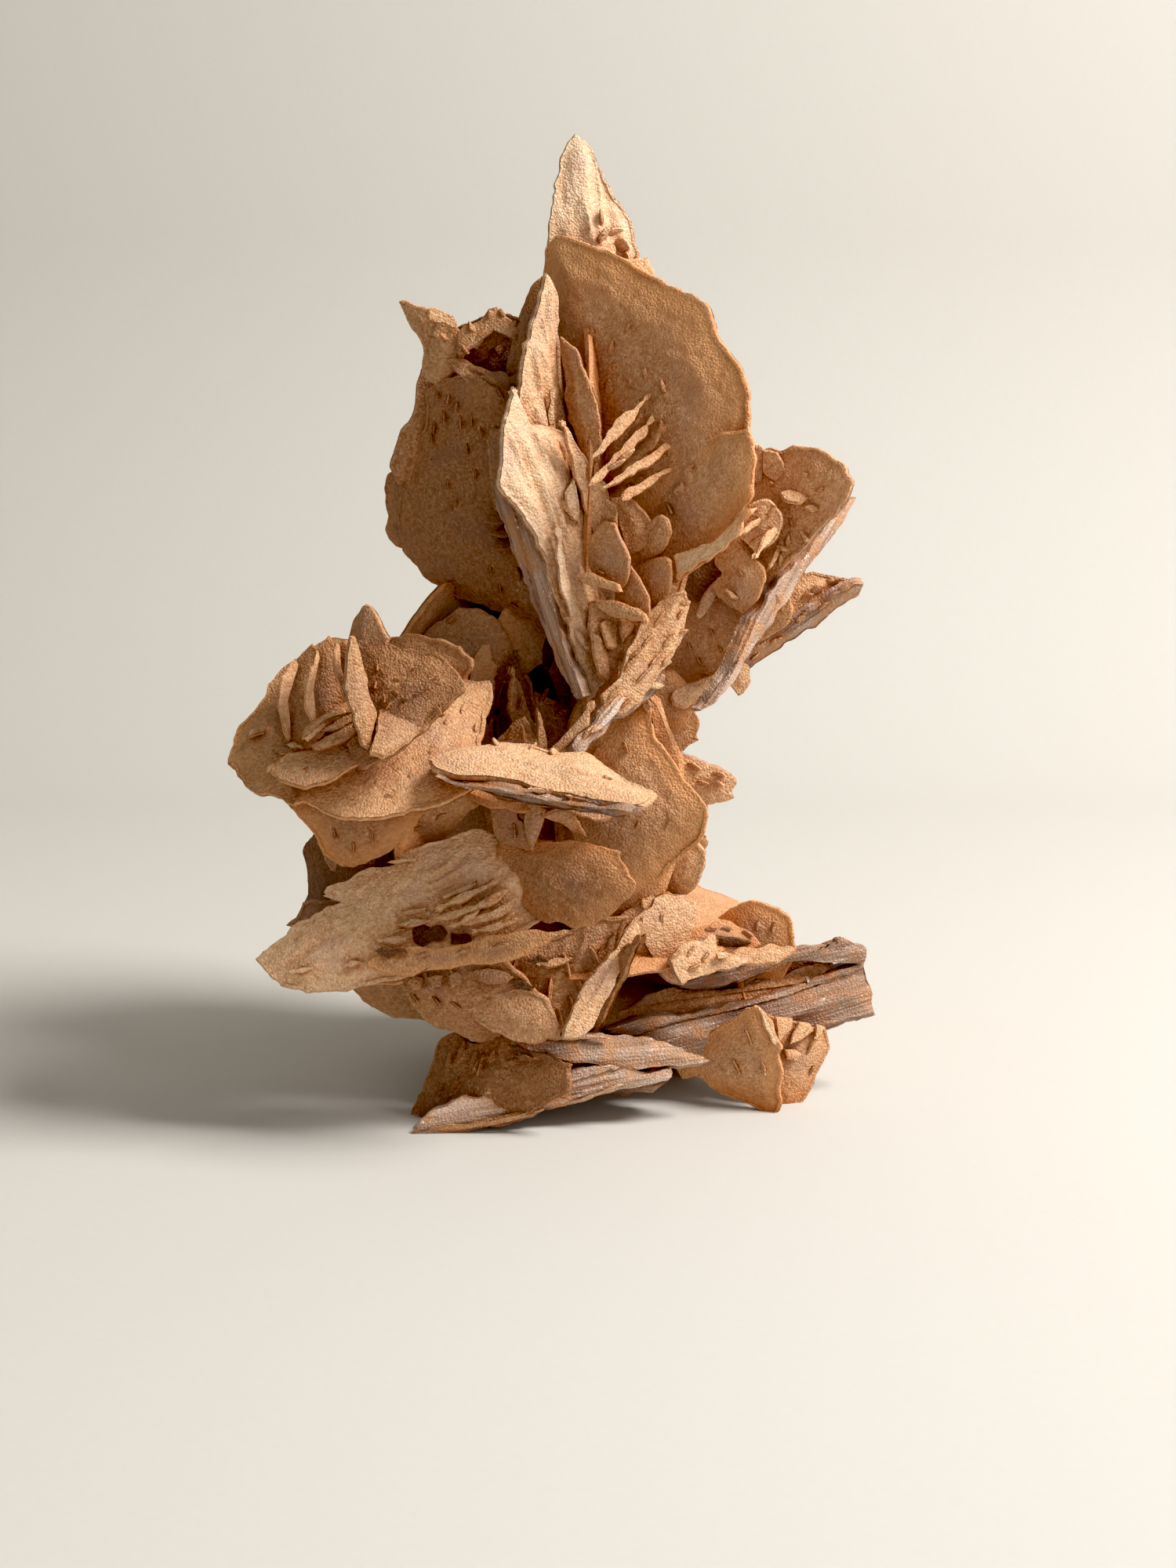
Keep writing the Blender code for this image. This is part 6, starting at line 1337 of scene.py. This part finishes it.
def add_node(tree, kind, inputs=None, **settings):
    """Add a node; settings are its own values, inputs are socket values or the sockets that feed them."""
    node = tree.nodes.new(kind)
    for name, value in settings.items():
        setattr(node, name, value)
    for name, value in (inputs or {}).items():
        if isinstance(value, bpy.types.NodeSocket):
            tree.links.new(value, node.inputs[name])
        else:
            node.inputs[name].default_value = value
    return node


def start_material(name):
    """A new material, its node tree and its shader."""
    material = bpy.data.materials.new(name)
    material.use_nodes = True
    return material, material.node_tree, material.node_tree.nodes["Principled BSDF"]


def shaded_and_toned(tree, colour, tone):
    """Deepen a colour with shade painted into the nooks and on blades toned dark, and lift it on blades toned pale.
    """
    # Ambient occlusion darkens the colour in the nooks between blades: painted shade
    nook = add_node(tree, "ShaderNodeAmbientOcclusion", {"Distance": NOOK}, samples=4)
    painted_nook_shade = add_node(tree, "ShaderNodeMapRange", {"Value": nook.outputs["AO"], "From Min": 0.15, "From Max": 0.95,
                                                 "To Min": 1.0 + NOOK_SHADE_STRENGTH, "To Max": 1.0})
    depth = add_node(tree, "ShaderNodeMath", {0: tone, 1: -0.4, 2: painted_nook_shade.outputs[0]}, operation="MULTIPLY_ADD")
    deep = add_node(tree, "ShaderNodeGamma", {"Color": colour, "Gamma": depth.outputs[0]})
    shade = add_node(tree, "ShaderNodeMapRange", {"Value": tone, "From Min": DARKEST, "From Max": 0.0,
                                                  "To Min": 0.1, "To Max": 1.0})
    return add_node(tree, "ShaderNodeMix", {0: 1.0, 6: deep.outputs[0], 7: shade.outputs[0]}, data_type="RGBA",
                    blend_type="MULTIPLY")


def plug_gypsum(tree, shader, colour, roughness, height, relief, glow, glow_reach):
    """Plug a finish into its shader, with relief in millimetres and the light that gypsum lets through."""
    bump = add_node(tree, "ShaderNodeBump", {"Height": height, "Strength": 1.0, "Distance": relief * MM})
    tree.links.new(colour, shader.inputs["Base Color"])
    tree.links.new(roughness, shader.inputs["Roughness"])
    tree.links.new(bump.outputs[0], shader.inputs["Normal"])
    shader.inputs["IOR"].default_value = GYPSUM_IOR
    shader.inputs["Subsurface Weight"].default_value = glow
    shader.inputs["Subsurface Radius"].default_value = glow_reach
    shader.inputs["Subsurface Scale"].default_value = 1.0 * MM


def sand_grown_gypsum():
    """Gypsum grown in desert sand: dull, granular, grains seen singly, clear thin rims with a painted glow."""
    colours = bpy.context.scene.rose_colours
    material, tree, shader = start_material("sand_grown_gypsum")
    place = add_node(tree, "ShaderNodeTexCoord").outputs["Object"]
    clear = add_node(tree, "ShaderNodeAttribute", attribute_name="clear_rim").outputs["Fac"]
    tone = add_node(tree, "ShaderNodeAttribute", attribute_name="tone").outputs["Fac"]
    grains = add_node(tree, "ShaderNodeTexVoronoi", {"Vector": place, "Scale": 1.0 / GRAIN})
    clumps = add_node(tree, "ShaderNodeTexNoise", {"Vector": place, "Scale": 1.0 / CLUMP, "Detail": 3.0})
    patches = add_node(tree, "ShaderNodeTexNoise", {"Vector": place, "Scale": 1.0 / PATCH, "Detail": 2.0})
    shade = add_node(tree, "ShaderNodeSeparateColor", {0: grains.outputs["Color"]})
    # Sand: single grains over soft clumps
    speckle = add_node(tree, "ShaderNodeMix", {0: 0.55, 2: clumps.outputs[0], 3: shade.outputs[0]})
    sand = add_node(tree, "ShaderNodeMapRange", {"Value": speckle.outputs[0], "From Min": 0.15, "From Max": 0.85})
    body = add_node(tree, "ShaderNodeMix", {0: sand.outputs[0], 6: tuple(colours.dark_sand),
                                            7: tuple(colours.pale_sand)}, data_type="RGBA")
    # Greyish patches where the sand is thin
    thin = add_node(tree, "ShaderNodeMapRange", {"Value": patches.outputs[0], "From Min": 0.5, "From Max": 0.7,
                                                 "To Max": 0.5})
    body = add_node(tree, "ShaderNodeMix", {0: thin.outputs[0], 6: body.outputs[2], 7: tuple(colours.lilac_patch)},
                    data_type="RGBA")
    # Bright single grains
    fleck = add_node(tree, "ShaderNodeMapRange", {"Value": shade.outputs[1], "From Min": 0.93, "From Max": 0.97,
                                                  "To Max": 0.3})
    body = add_node(tree, "ShaderNodeMix", {0: fleck.outputs[0], 6: body.outputs[2], 7: tuple(colours.fleck)},
                    data_type="RGBA")
    # Clear honey rims, broken up by the patches: partly the colour of clear gypsum,
    # partly a painted glow of light through the thin rims
    ragged = add_node(tree, "ShaderNodeMapRange", {"Value": patches.outputs[0], "From Min": 0.35, "From Max": 0.6,
                                                   "To Min": 0.6, "To Max": 0.95})
    band = add_node(tree, "ShaderNodeMath", {0: clear, 1: ragged.outputs[0]}, operation="MULTIPLY")
    rim = add_node(tree, "ShaderNodeMix", {0: clumps.outputs[0], 6: tuple(colours.clear_rim),
                                           7: tuple(colours.rim_glow)}, data_type="RGBA")
    body = add_node(tree, "ShaderNodeMix", {0: band.outputs[0], 6: body.outputs[2], 7: rim.outputs[2]},
                    data_type="RGBA")
    # The band keeps its brightness on blades toned dark: painted glow of light through the rim
    lit = add_node(tree, "ShaderNodeMath", {0: band.outputs[0], 1: -0.65, 2: 1.0}, operation="MULTIPLY_ADD")
    tone = add_node(tree, "ShaderNodeMath", {0: tone, 1: lit.outputs[0]}, operation="MULTIPLY").outputs[0]
    body = shaded_and_toned(tree, body.outputs[2], tone)
    rough = add_node(tree, "ShaderNodeMapRange", {"Value": shade.outputs[2], "To Min": 0.6, "To Max": 0.9})
    lumps = add_node(tree, "ShaderNodeMath", {0: clumps.outputs[0], 1: 0.8}, operation="MULTIPLY")
    height = add_node(tree, "ShaderNodeMath", {0: lumps.outputs[0], 1: grains.outputs["Distance"]},
                      operation="SUBTRACT")
    plug_gypsum(tree, shader, body.outputs[2], rough.outputs[0], height.outputs[0], 0.2, 0.14, (1.0, 0.42, 0.18))
    return material


def cleaved_gypsum():
    """Gypsum broken along its cleavage: grey lilac fibres in layers, satiny, with painted white glints."""
    colours = bpy.context.scene.rose_colours
    material, tree, shader = start_material("cleaved_satin_gypsum")
    place = add_node(tree, "ShaderNodeTexCoord").outputs["Object"]
    streak = add_node(tree, "ShaderNodeAttribute", attribute_name="streak").outputs["Vector"]
    tone = add_node(tree, "ShaderNodeAttribute", attribute_name="tone").outputs["Fac"]
    broad = add_node(tree, "ShaderNodeMapping", {"Vector": streak, "Scale": (1 / 16.0, 1 / 1.7, 1 / 16.0)})
    fine = add_node(tree, "ShaderNodeMapping", {"Vector": streak, "Scale": (1 / 7.0, 1 / 0.35, 1 / 7.0)})
    layers = add_node(tree, "ShaderNodeTexNoise", {"Vector": broad.outputs[0], "Scale": 1.0, "Detail": 2.0})
    fibres = add_node(tree, "ShaderNodeTexNoise", {"Vector": fine.outputs[0], "Scale": 1.0, "Detail": 3.0})
    sand = add_node(tree, "ShaderNodeTexVoronoi", {"Vector": place, "Scale": 1.0 / GRAIN})
    patches = add_node(tree, "ShaderNodeTexNoise", {"Vector": place, "Scale": 2.0 / PATCH, "Detail": 3.0})
    shade = add_node(tree, "ShaderNodeSeparateColor", {0: sand.outputs["Color"]})
    leaf = add_node(tree, "ShaderNodeMapRange", {"Value": layers.outputs[0], "From Min": 0.35, "From Max": 0.65})
    body = add_node(tree, "ShaderNodeMix", {0: leaf.outputs[0], 6: tuple(colours.cleaved_dark),
                                            7: tuple(colours.cleaved)}, data_type="RGBA")
    pale = add_node(tree, "ShaderNodeMapRange", {"Value": fibres.outputs[0], "From Min": 0.45, "From Max": 0.75,
                                                 "To Max": 0.5})
    body = add_node(tree, "ShaderNodeMix", {0: pale.outputs[0], 6: body.outputs[2], 7: tuple(colours.cleaved_pale)},
                    data_type="RGBA")
    # Sand still sticks to parts of the break
    stuck = add_node(tree, "ShaderNodeMapRange", {"Value": patches.outputs[0], "From Min": 0.45, "From Max": 0.6,
                                                  "To Max": 0.75})
    body = add_node(tree, "ShaderNodeMix", {0: stuck.outputs[0], 6: body.outputs[2], 7: tuple(colours.dark_sand)},
                    data_type="RGBA")
    # Painted white glints, highlights of light off clean cleavage
    spark = add_node(tree, "ShaderNodeMapRange", {"Value": shade.outputs[1], "From Min": 0.92, "From Max": 0.96})
    clean = add_node(tree, "ShaderNodeMapRange", {"Value": fibres.outputs[0], "From Min": 0.5, "From Max": 0.7,
                                                  "To Max": 0.8})
    glint = add_node(tree, "ShaderNodeMath", {0: spark.outputs[0], 1: clean.outputs[0]}, operation="MULTIPLY")
    body = add_node(tree, "ShaderNodeMix", {0: glint.outputs[0], 6: body.outputs[2], 7: tuple(colours.glint)},
                    data_type="RGBA")
    body = shaded_and_toned(tree, body.outputs[2], tone)
    satin = add_node(tree, "ShaderNodeMapRange", {"Value": fibres.outputs[0], "From Min": 0.3, "From Max": 0.7,
                                                  "To Min": 0.66, "To Max": 0.4})
    grit = add_node(tree, "ShaderNodeMath", {0: sand.outputs["Distance"], 1: -0.5}, operation="MULTIPLY")
    height = add_node(tree, "ShaderNodeMath", {0: fibres.outputs[0], 1: layers.outputs[0]}, operation="ADD")
    height = add_node(tree, "ShaderNodeMath", {0: height.outputs[0], 1: grit.outputs[0]}, operation="ADD")
    plug_gypsum(tree, shader, body.outputs[2], satin.outputs[0], height.outputs[0], 0.3, 0.12, (1.0, 0.6, 0.4))
    return material


def rose_finishes():
    """The two finishes of the rose, made once: grown surfaces first, then broken ones."""
    makers = (("sand_grown_gypsum", sand_grown_gypsum), ("cleaved_satin_gypsum", cleaved_gypsum))
    return [bpy.data.materials.get(name) or make() for name, make in makers]


def studio_paper():
    """Matt off-white studio paper: even and soft, with a faint tooth."""
    material, tree, shader = start_material("studio_paper")
    place = add_node(tree, "ShaderNodeTexCoord").outputs["Object"]
    tooth = add_node(tree, "ShaderNodeTexNoise", {"Vector": place, "Scale": 1.0 / (1.5 * MM), "Detail": 3.0})
    colours = bpy.context.scene.rose_colours
    paper = tuple(colours.paper)
    shade = tuple(channel * 0.96 for channel in paper[:3]) + (1.0,)
    base = add_node(tree, "ShaderNodeMix", {0: tooth.outputs[0], 6: paper, 7: shade}, data_type="RGBA")
    tree.links.new(base.outputs[2], shader.inputs["Base Color"])
    shader.inputs["Roughness"].default_value = 0.9
    return material


def colour_setting(name, description, text):
    """A colour that a user may change."""
    return bpy.props.FloatVectorProperty(name=name, description=description, subtype="COLOR", size=4,
                                         min=0.0, max=1.0, default=linear_colour(text))


class RoseColours(bpy.types.PropertyGroup):
    """Colours of the gypsum, its sand and the studio paper."""
    dark_sand: colour_setting("Dark sand", "Darker sand between the grains of a grown face", "#C08C61")
    pale_sand: colour_setting("Pale sand", "Paler grains of a grown face", "#E4BB93")
    lilac_patch: colour_setting("Lilac patch", "Greyish patches where the sand is thin", "#BF9883")
    fleck: colour_setting("Fleck", "Single bright grains", "#F6DDBC")
    # The two honey colours of the rims: partly clear gypsum, partly a painted glow of light through them
    clear_rim: colour_setting("Clear rim", "Honey colour of the clear thin rims", "#D2905A")
    rim_glow: colour_setting("Rim glow", "Paler honey in the rims", "#E9B07A")
    cleaved: colour_setting("Cleaved", "Grey lilac of a broken wall", "#BFA08C")
    cleaved_dark: colour_setting("Cleaved dark", "Darker layers of a broken wall", "#8F6A50")
    cleaved_pale: colour_setting("Cleaved pale", "Pale fibres of a broken wall", "#DEC6B2")
    # White glints painted as highlights off clean cleavage
    glint: colour_setting("Glint", "White glints of clean cleavage", "#FDFAF6")
    paper: colour_setting("Paper", "Studio paper", "#C9C6C0")


class RoseStage(bpy.types.PropertyGroup):
    """Sizes and strengths of the studio."""
    reach: bpy.props.FloatProperty(name="Paper reach", description="How far the paper runs behind the rose",
                                   default=0.42, unit="LENGTH")
    window_power: bpy.props.FloatProperty(name="Window power", description="Strength of the main light, in watts",
                                          default=11.0, min=0.0)
    fill_power: bpy.props.FloatProperty(name="Fill power", description="Strength of the fill light, in watts",
                                        default=1.7, min=0.0)
    wall_power: bpy.props.FloatProperty(name="Wall power", description="Strength of the light on the paper behind",
                                        default=1.1, min=0.0)
    sky: bpy.props.FloatProperty(name="Room light", description="Brightness of the light from all round",
                                 default=0.28, min=0.0)


def paper_sweep(stage):
    """Studio paper that lies flat, then curves up behind the rose."""
    bm = bmesh.new()
    front = bm.verts.new((-PAPER_HALF_WIDTH, -PAPER_RUN, 0.0))
    other = bm.verts.new((PAPER_HALF_WIDTH, -PAPER_RUN, 0.0))
    edge = bm.edges.new((front, other))
    run = bmesh.ops.extrude_edge_only(bm, edges=[edge])
    corners = [item for item in run["geom"] if isinstance(item, bmesh.types.BMVert)]
    bmesh.ops.translate(bm, vec=(0.0, PAPER_RUN + stage.reach - PAPER_BEND, 0.0), verts=corners)
    line = [item for item in run["geom"] if isinstance(item, bmesh.types.BMEdge)]
    bmesh.ops.spin(bm, geom=corners + line, cent=(0.0, stage.reach - PAPER_BEND, PAPER_BEND),
                   axis=(1.0, 0.0, 0.0), angle=math.radians(90.0), steps=PAPER_STEPS)
    top = [edge for edge in bm.edges if all(vert.co.y > stage.reach - 1e-4 for vert in edge.verts)]
    rise = bmesh.ops.extrude_edge_only(bm, edges=top)
    corners = [item for item in rise["geom"] if isinstance(item, bmesh.types.BMVert)]
    bmesh.ops.translate(bm, vec=(0.0, 0.0, PAPER_RISE), verts=corners)
    bmesh.ops.recalc_face_normals(bm, faces=bm.faces)
    mesh = bpy.data.meshes.new("paper_sweep")
    bm.to_mesh(mesh)
    bm.free()
    mesh.shade_smooth()
    mesh.materials.append(studio_paper())
    sweep = add_mesh_object("paper_sweep", mesh, bpy.context.scene.collection)


def soft_light(name, place, aim, size, power, colour):
    """A large soft lamp at place that shines towards aim."""
    lamp = bpy.data.lights.new(name, "AREA")
    lamp.shape = "DISK"
    lamp.size = size
    lamp.energy = power
    lamp.color = colour
    obj = bpy.data.objects.new(name, lamp)
    obj.location = place
    obj.rotation_euler = (Vector(aim) - Vector(place)).to_track_quat("-Z", "Y").to_euler()
    bpy.context.scene.collection.objects.link(obj)


def camera_at_eye():
    """The camera, where the eye looks at the drawing board."""
    camera = bpy.data.cameras.new("board_camera")
    camera.sensor_width = 36.0
    camera.sensor_fit = "AUTO"
    camera.lens = CAMERA_LENS
    camera.clip_start = 0.01
    obj = bpy.data.objects.new("board_camera", camera)
    obj.location = (CAMERA_PLACE + BOARD_ORIGIN) * MM
    obj.rotation_euler = (math.radians(CAMERA_LEAN), 0.0, 0.0)
    bpy.context.scene.collection.objects.link(obj)
    bpy.context.scene.camera = obj


class SANDROSE_OT_stage(bpy.types.Operator):
    """Set up the paper, the soft lights and the camera"""
    bl_idname = "sandrose.stage"
    bl_label = "Studio"

    def execute(self, context):
        scene = context.scene
        stage = scene.rose_stage
        camera_at_eye()
        paper_sweep(stage)
        soft_light("window", (0.54, -0.16, 0.7), (0.0, 0.0, 0.07), 0.34, stage.window_power, LAMP_WHITE)
        soft_light("room_fill", (0.3, -0.9, 0.3), (0.0, 0.0, 0.08), 0.7, stage.fill_power, LAMP_WHITE)
        soft_light("wall_wash", (0.75, 0.12, 0.5), (0.1, 0.42, 0.12), 0.5, stage.wall_power, (1.0, 0.98, 0.95))
        world = bpy.data.worlds.new("room")
        world.use_nodes = True
        background = world.node_tree.nodes["Background"]
        background.inputs["Color"].default_value = linear_colour("#F4F3EA")
        background.inputs["Strength"].default_value = stage.sky
        scene.world = world
        view = scene.view_settings
        view.view_transform = "Standard"
        view.use_curve_mapping = True
        view.curve_mapping.black_level = (0.016, 0.016, 0.016)
        view.curve_mapping.update()
        return {"FINISHED"}


class SANDROSE_OT_crown(bpy.types.Operator):
    """Grow the spire, the great disc, the front blade and the leaves between them"""
    bl_idname = "sandrose.crown"
    bl_label = "Crown"

    def execute(self, context):
        grow_piece("crown", CROWN + NEST, CROWN_GROWTHS)
        return {"FINISHED"}


class SANDROSE_OT_left_disc(bpy.types.Operator):
    """Grow the dark disc at the left, its broken wall and the knobs on its top"""
    bl_idname = "sandrose.left_disc"
    bl_label = "Left disc"

    def execute(self, context):
        grow_piece("left_disc", LEFT_DISC, LEFT_DISC_GROWTHS)
        return {"FINISHED"}


class SANDROSE_OT_right_wing(bpy.types.Operator):
    """Grow the broken wing at the right and the far horn behind it"""
    bl_idname = "sandrose.right_wing"
    bl_label = "Right wing"

    def execute(self, context):
        grow_piece("right_wing", RIGHT_WING, RIGHT_WING_GROWTHS)
        return {"FINISHED"}


class SANDROSE_OT_waist(bpy.types.Operator):
    """Grow the curved leaf, the shelf and the brown disc of the waist"""
    bl_idname = "sandrose.waist"
    bl_label = "Waist"

    def execute(self, context):
        grow_piece("waist", WAIST, WAIST_GROWTHS)
        return {"FINISHED"}


class SANDROSE_OT_hollow(bpy.types.Operator):
    """Grow the blades inside the dark hollow"""
    bl_idname = "sandrose.hollow"
    bl_label = "Hollow"

    def execute(self, context):
        grow_piece("hollow_blades", HOLLOW, HOLLOW_GROWTHS)
        return {"FINISHED"}


class SANDROSE_OT_left_lobe(bpy.types.Operator):
    """Grow the round lobe at the left with its petals"""
    bl_idname = "sandrose.left_lobe"
    bl_label = "Left lobe"

    def execute(self, context):
        grow_piece("left_lobe", LEFT_LOBE, LEFT_LOBE_GROWTHS)
        return {"FINISHED"}


class SANDROSE_OT_long_plate(bpy.types.Operator):
    """Grow the long leaning plate and the leaves under it"""
    bl_idname = "sandrose.long_plate"
    bl_label = "Long plate"

    def execute(self, context):
        grow_piece("long_plate", LOWER_PLATE, LOWER_PLATE_GROWTHS)
        return {"FINISHED"}


class SANDROSE_OT_feet(bpy.types.Operator):
    """Grow the broken layers and blades that the rose stands on"""
    bl_idname = "sandrose.feet"
    bl_label = "Feet"

    def execute(self, context):
        grow_piece("feet", BASE, BASE_GROWTHS)
        return {"FINISHED"}


class SANDROSE_OT_back(bpy.types.Operator):
    """Grow the discs and fins of the back"""
    bl_idname = "sandrose.back"
    bl_label = "Back"

    def execute(self, context):
        nests = [sprout._replace(x=x + sprout.x, z=z + sprout.z, heading=sprout.heading + NEST_SWING * index)
                 for index, (x, z) in enumerate(BACK_NESTS) for sprout in NEST_SPROUTS]
        grow_piece("back_blades", BACK + FINS, nests, spacing=BACK_SPACING, eye=BACK_EYE)
        return {"FINISHED"}


class SANDROSE_OT_heart(bpy.types.Operator):
    """Grow the thick blades of the heart, which carry the others"""
    bl_idname = "sandrose.heart"
    bl_label = "Heart"

    def execute(self, context):
        grow_piece("heart_blades", HEART, spacing=HEART_SPACING)
        return {"FINISHED"}


OPERATORS = (SANDROSE_OT_stage, SANDROSE_OT_crown, SANDROSE_OT_left_disc, SANDROSE_OT_right_wing,
             SANDROSE_OT_waist, SANDROSE_OT_hollow, SANDROSE_OT_left_lobe, SANDROSE_OT_long_plate,
             SANDROSE_OT_feet, SANDROSE_OT_back, SANDROSE_OT_heart)


class SANDROSE_PT_panel(bpy.types.Panel):
    """The settings and the pieces of the sand rose"""
    bl_idname = "SANDROSE_PT_panel"
    bl_label = "Sand Rose"
    bl_space_type = "VIEW_3D"
    bl_region_type = "UI"
    bl_category = "Sand Rose"

    def draw(self, context):
        layout = self.layout
        for settings in (context.scene.rose_colours, context.scene.rose_stage):
            column = layout.column()
            for name in settings.__annotations__:
                column.prop(settings, name)
        for operator in OPERATORS:
            layout.operator(operator.bl_idname)


CLASSES = (RoseColours, RoseStage, *OPERATORS, SANDROSE_PT_panel)


def register():
    """Register the classes and the scene's settings."""
    for cls in CLASSES:
        bpy.utils.register_class(cls)
    bpy.types.Scene.rose_colours = bpy.props.PointerProperty(type=RoseColours)
    bpy.types.Scene.rose_stage = bpy.props.PointerProperty(type=RoseStage)


def unregister():
    """Remove the settings and the classes."""
    del bpy.types.Scene.rose_stage
    del bpy.types.Scene.rose_colours
    for cls in reversed(CLASSES):
        bpy.utils.unregister_class(cls)


def main():
    """Build the stage and every piece, then remove the ball templates."""
    register()
    for operator in OPERATORS:
        getattr(bpy.ops.sandrose, operator.bl_idname.split(".")[1])()
    for mesh in [mesh for mesh in bpy.data.meshes if mesh.name.startswith("ball_")]:
        bpy.data.meshes.remove(mesh)


if __name__ == "__main__":
    main()
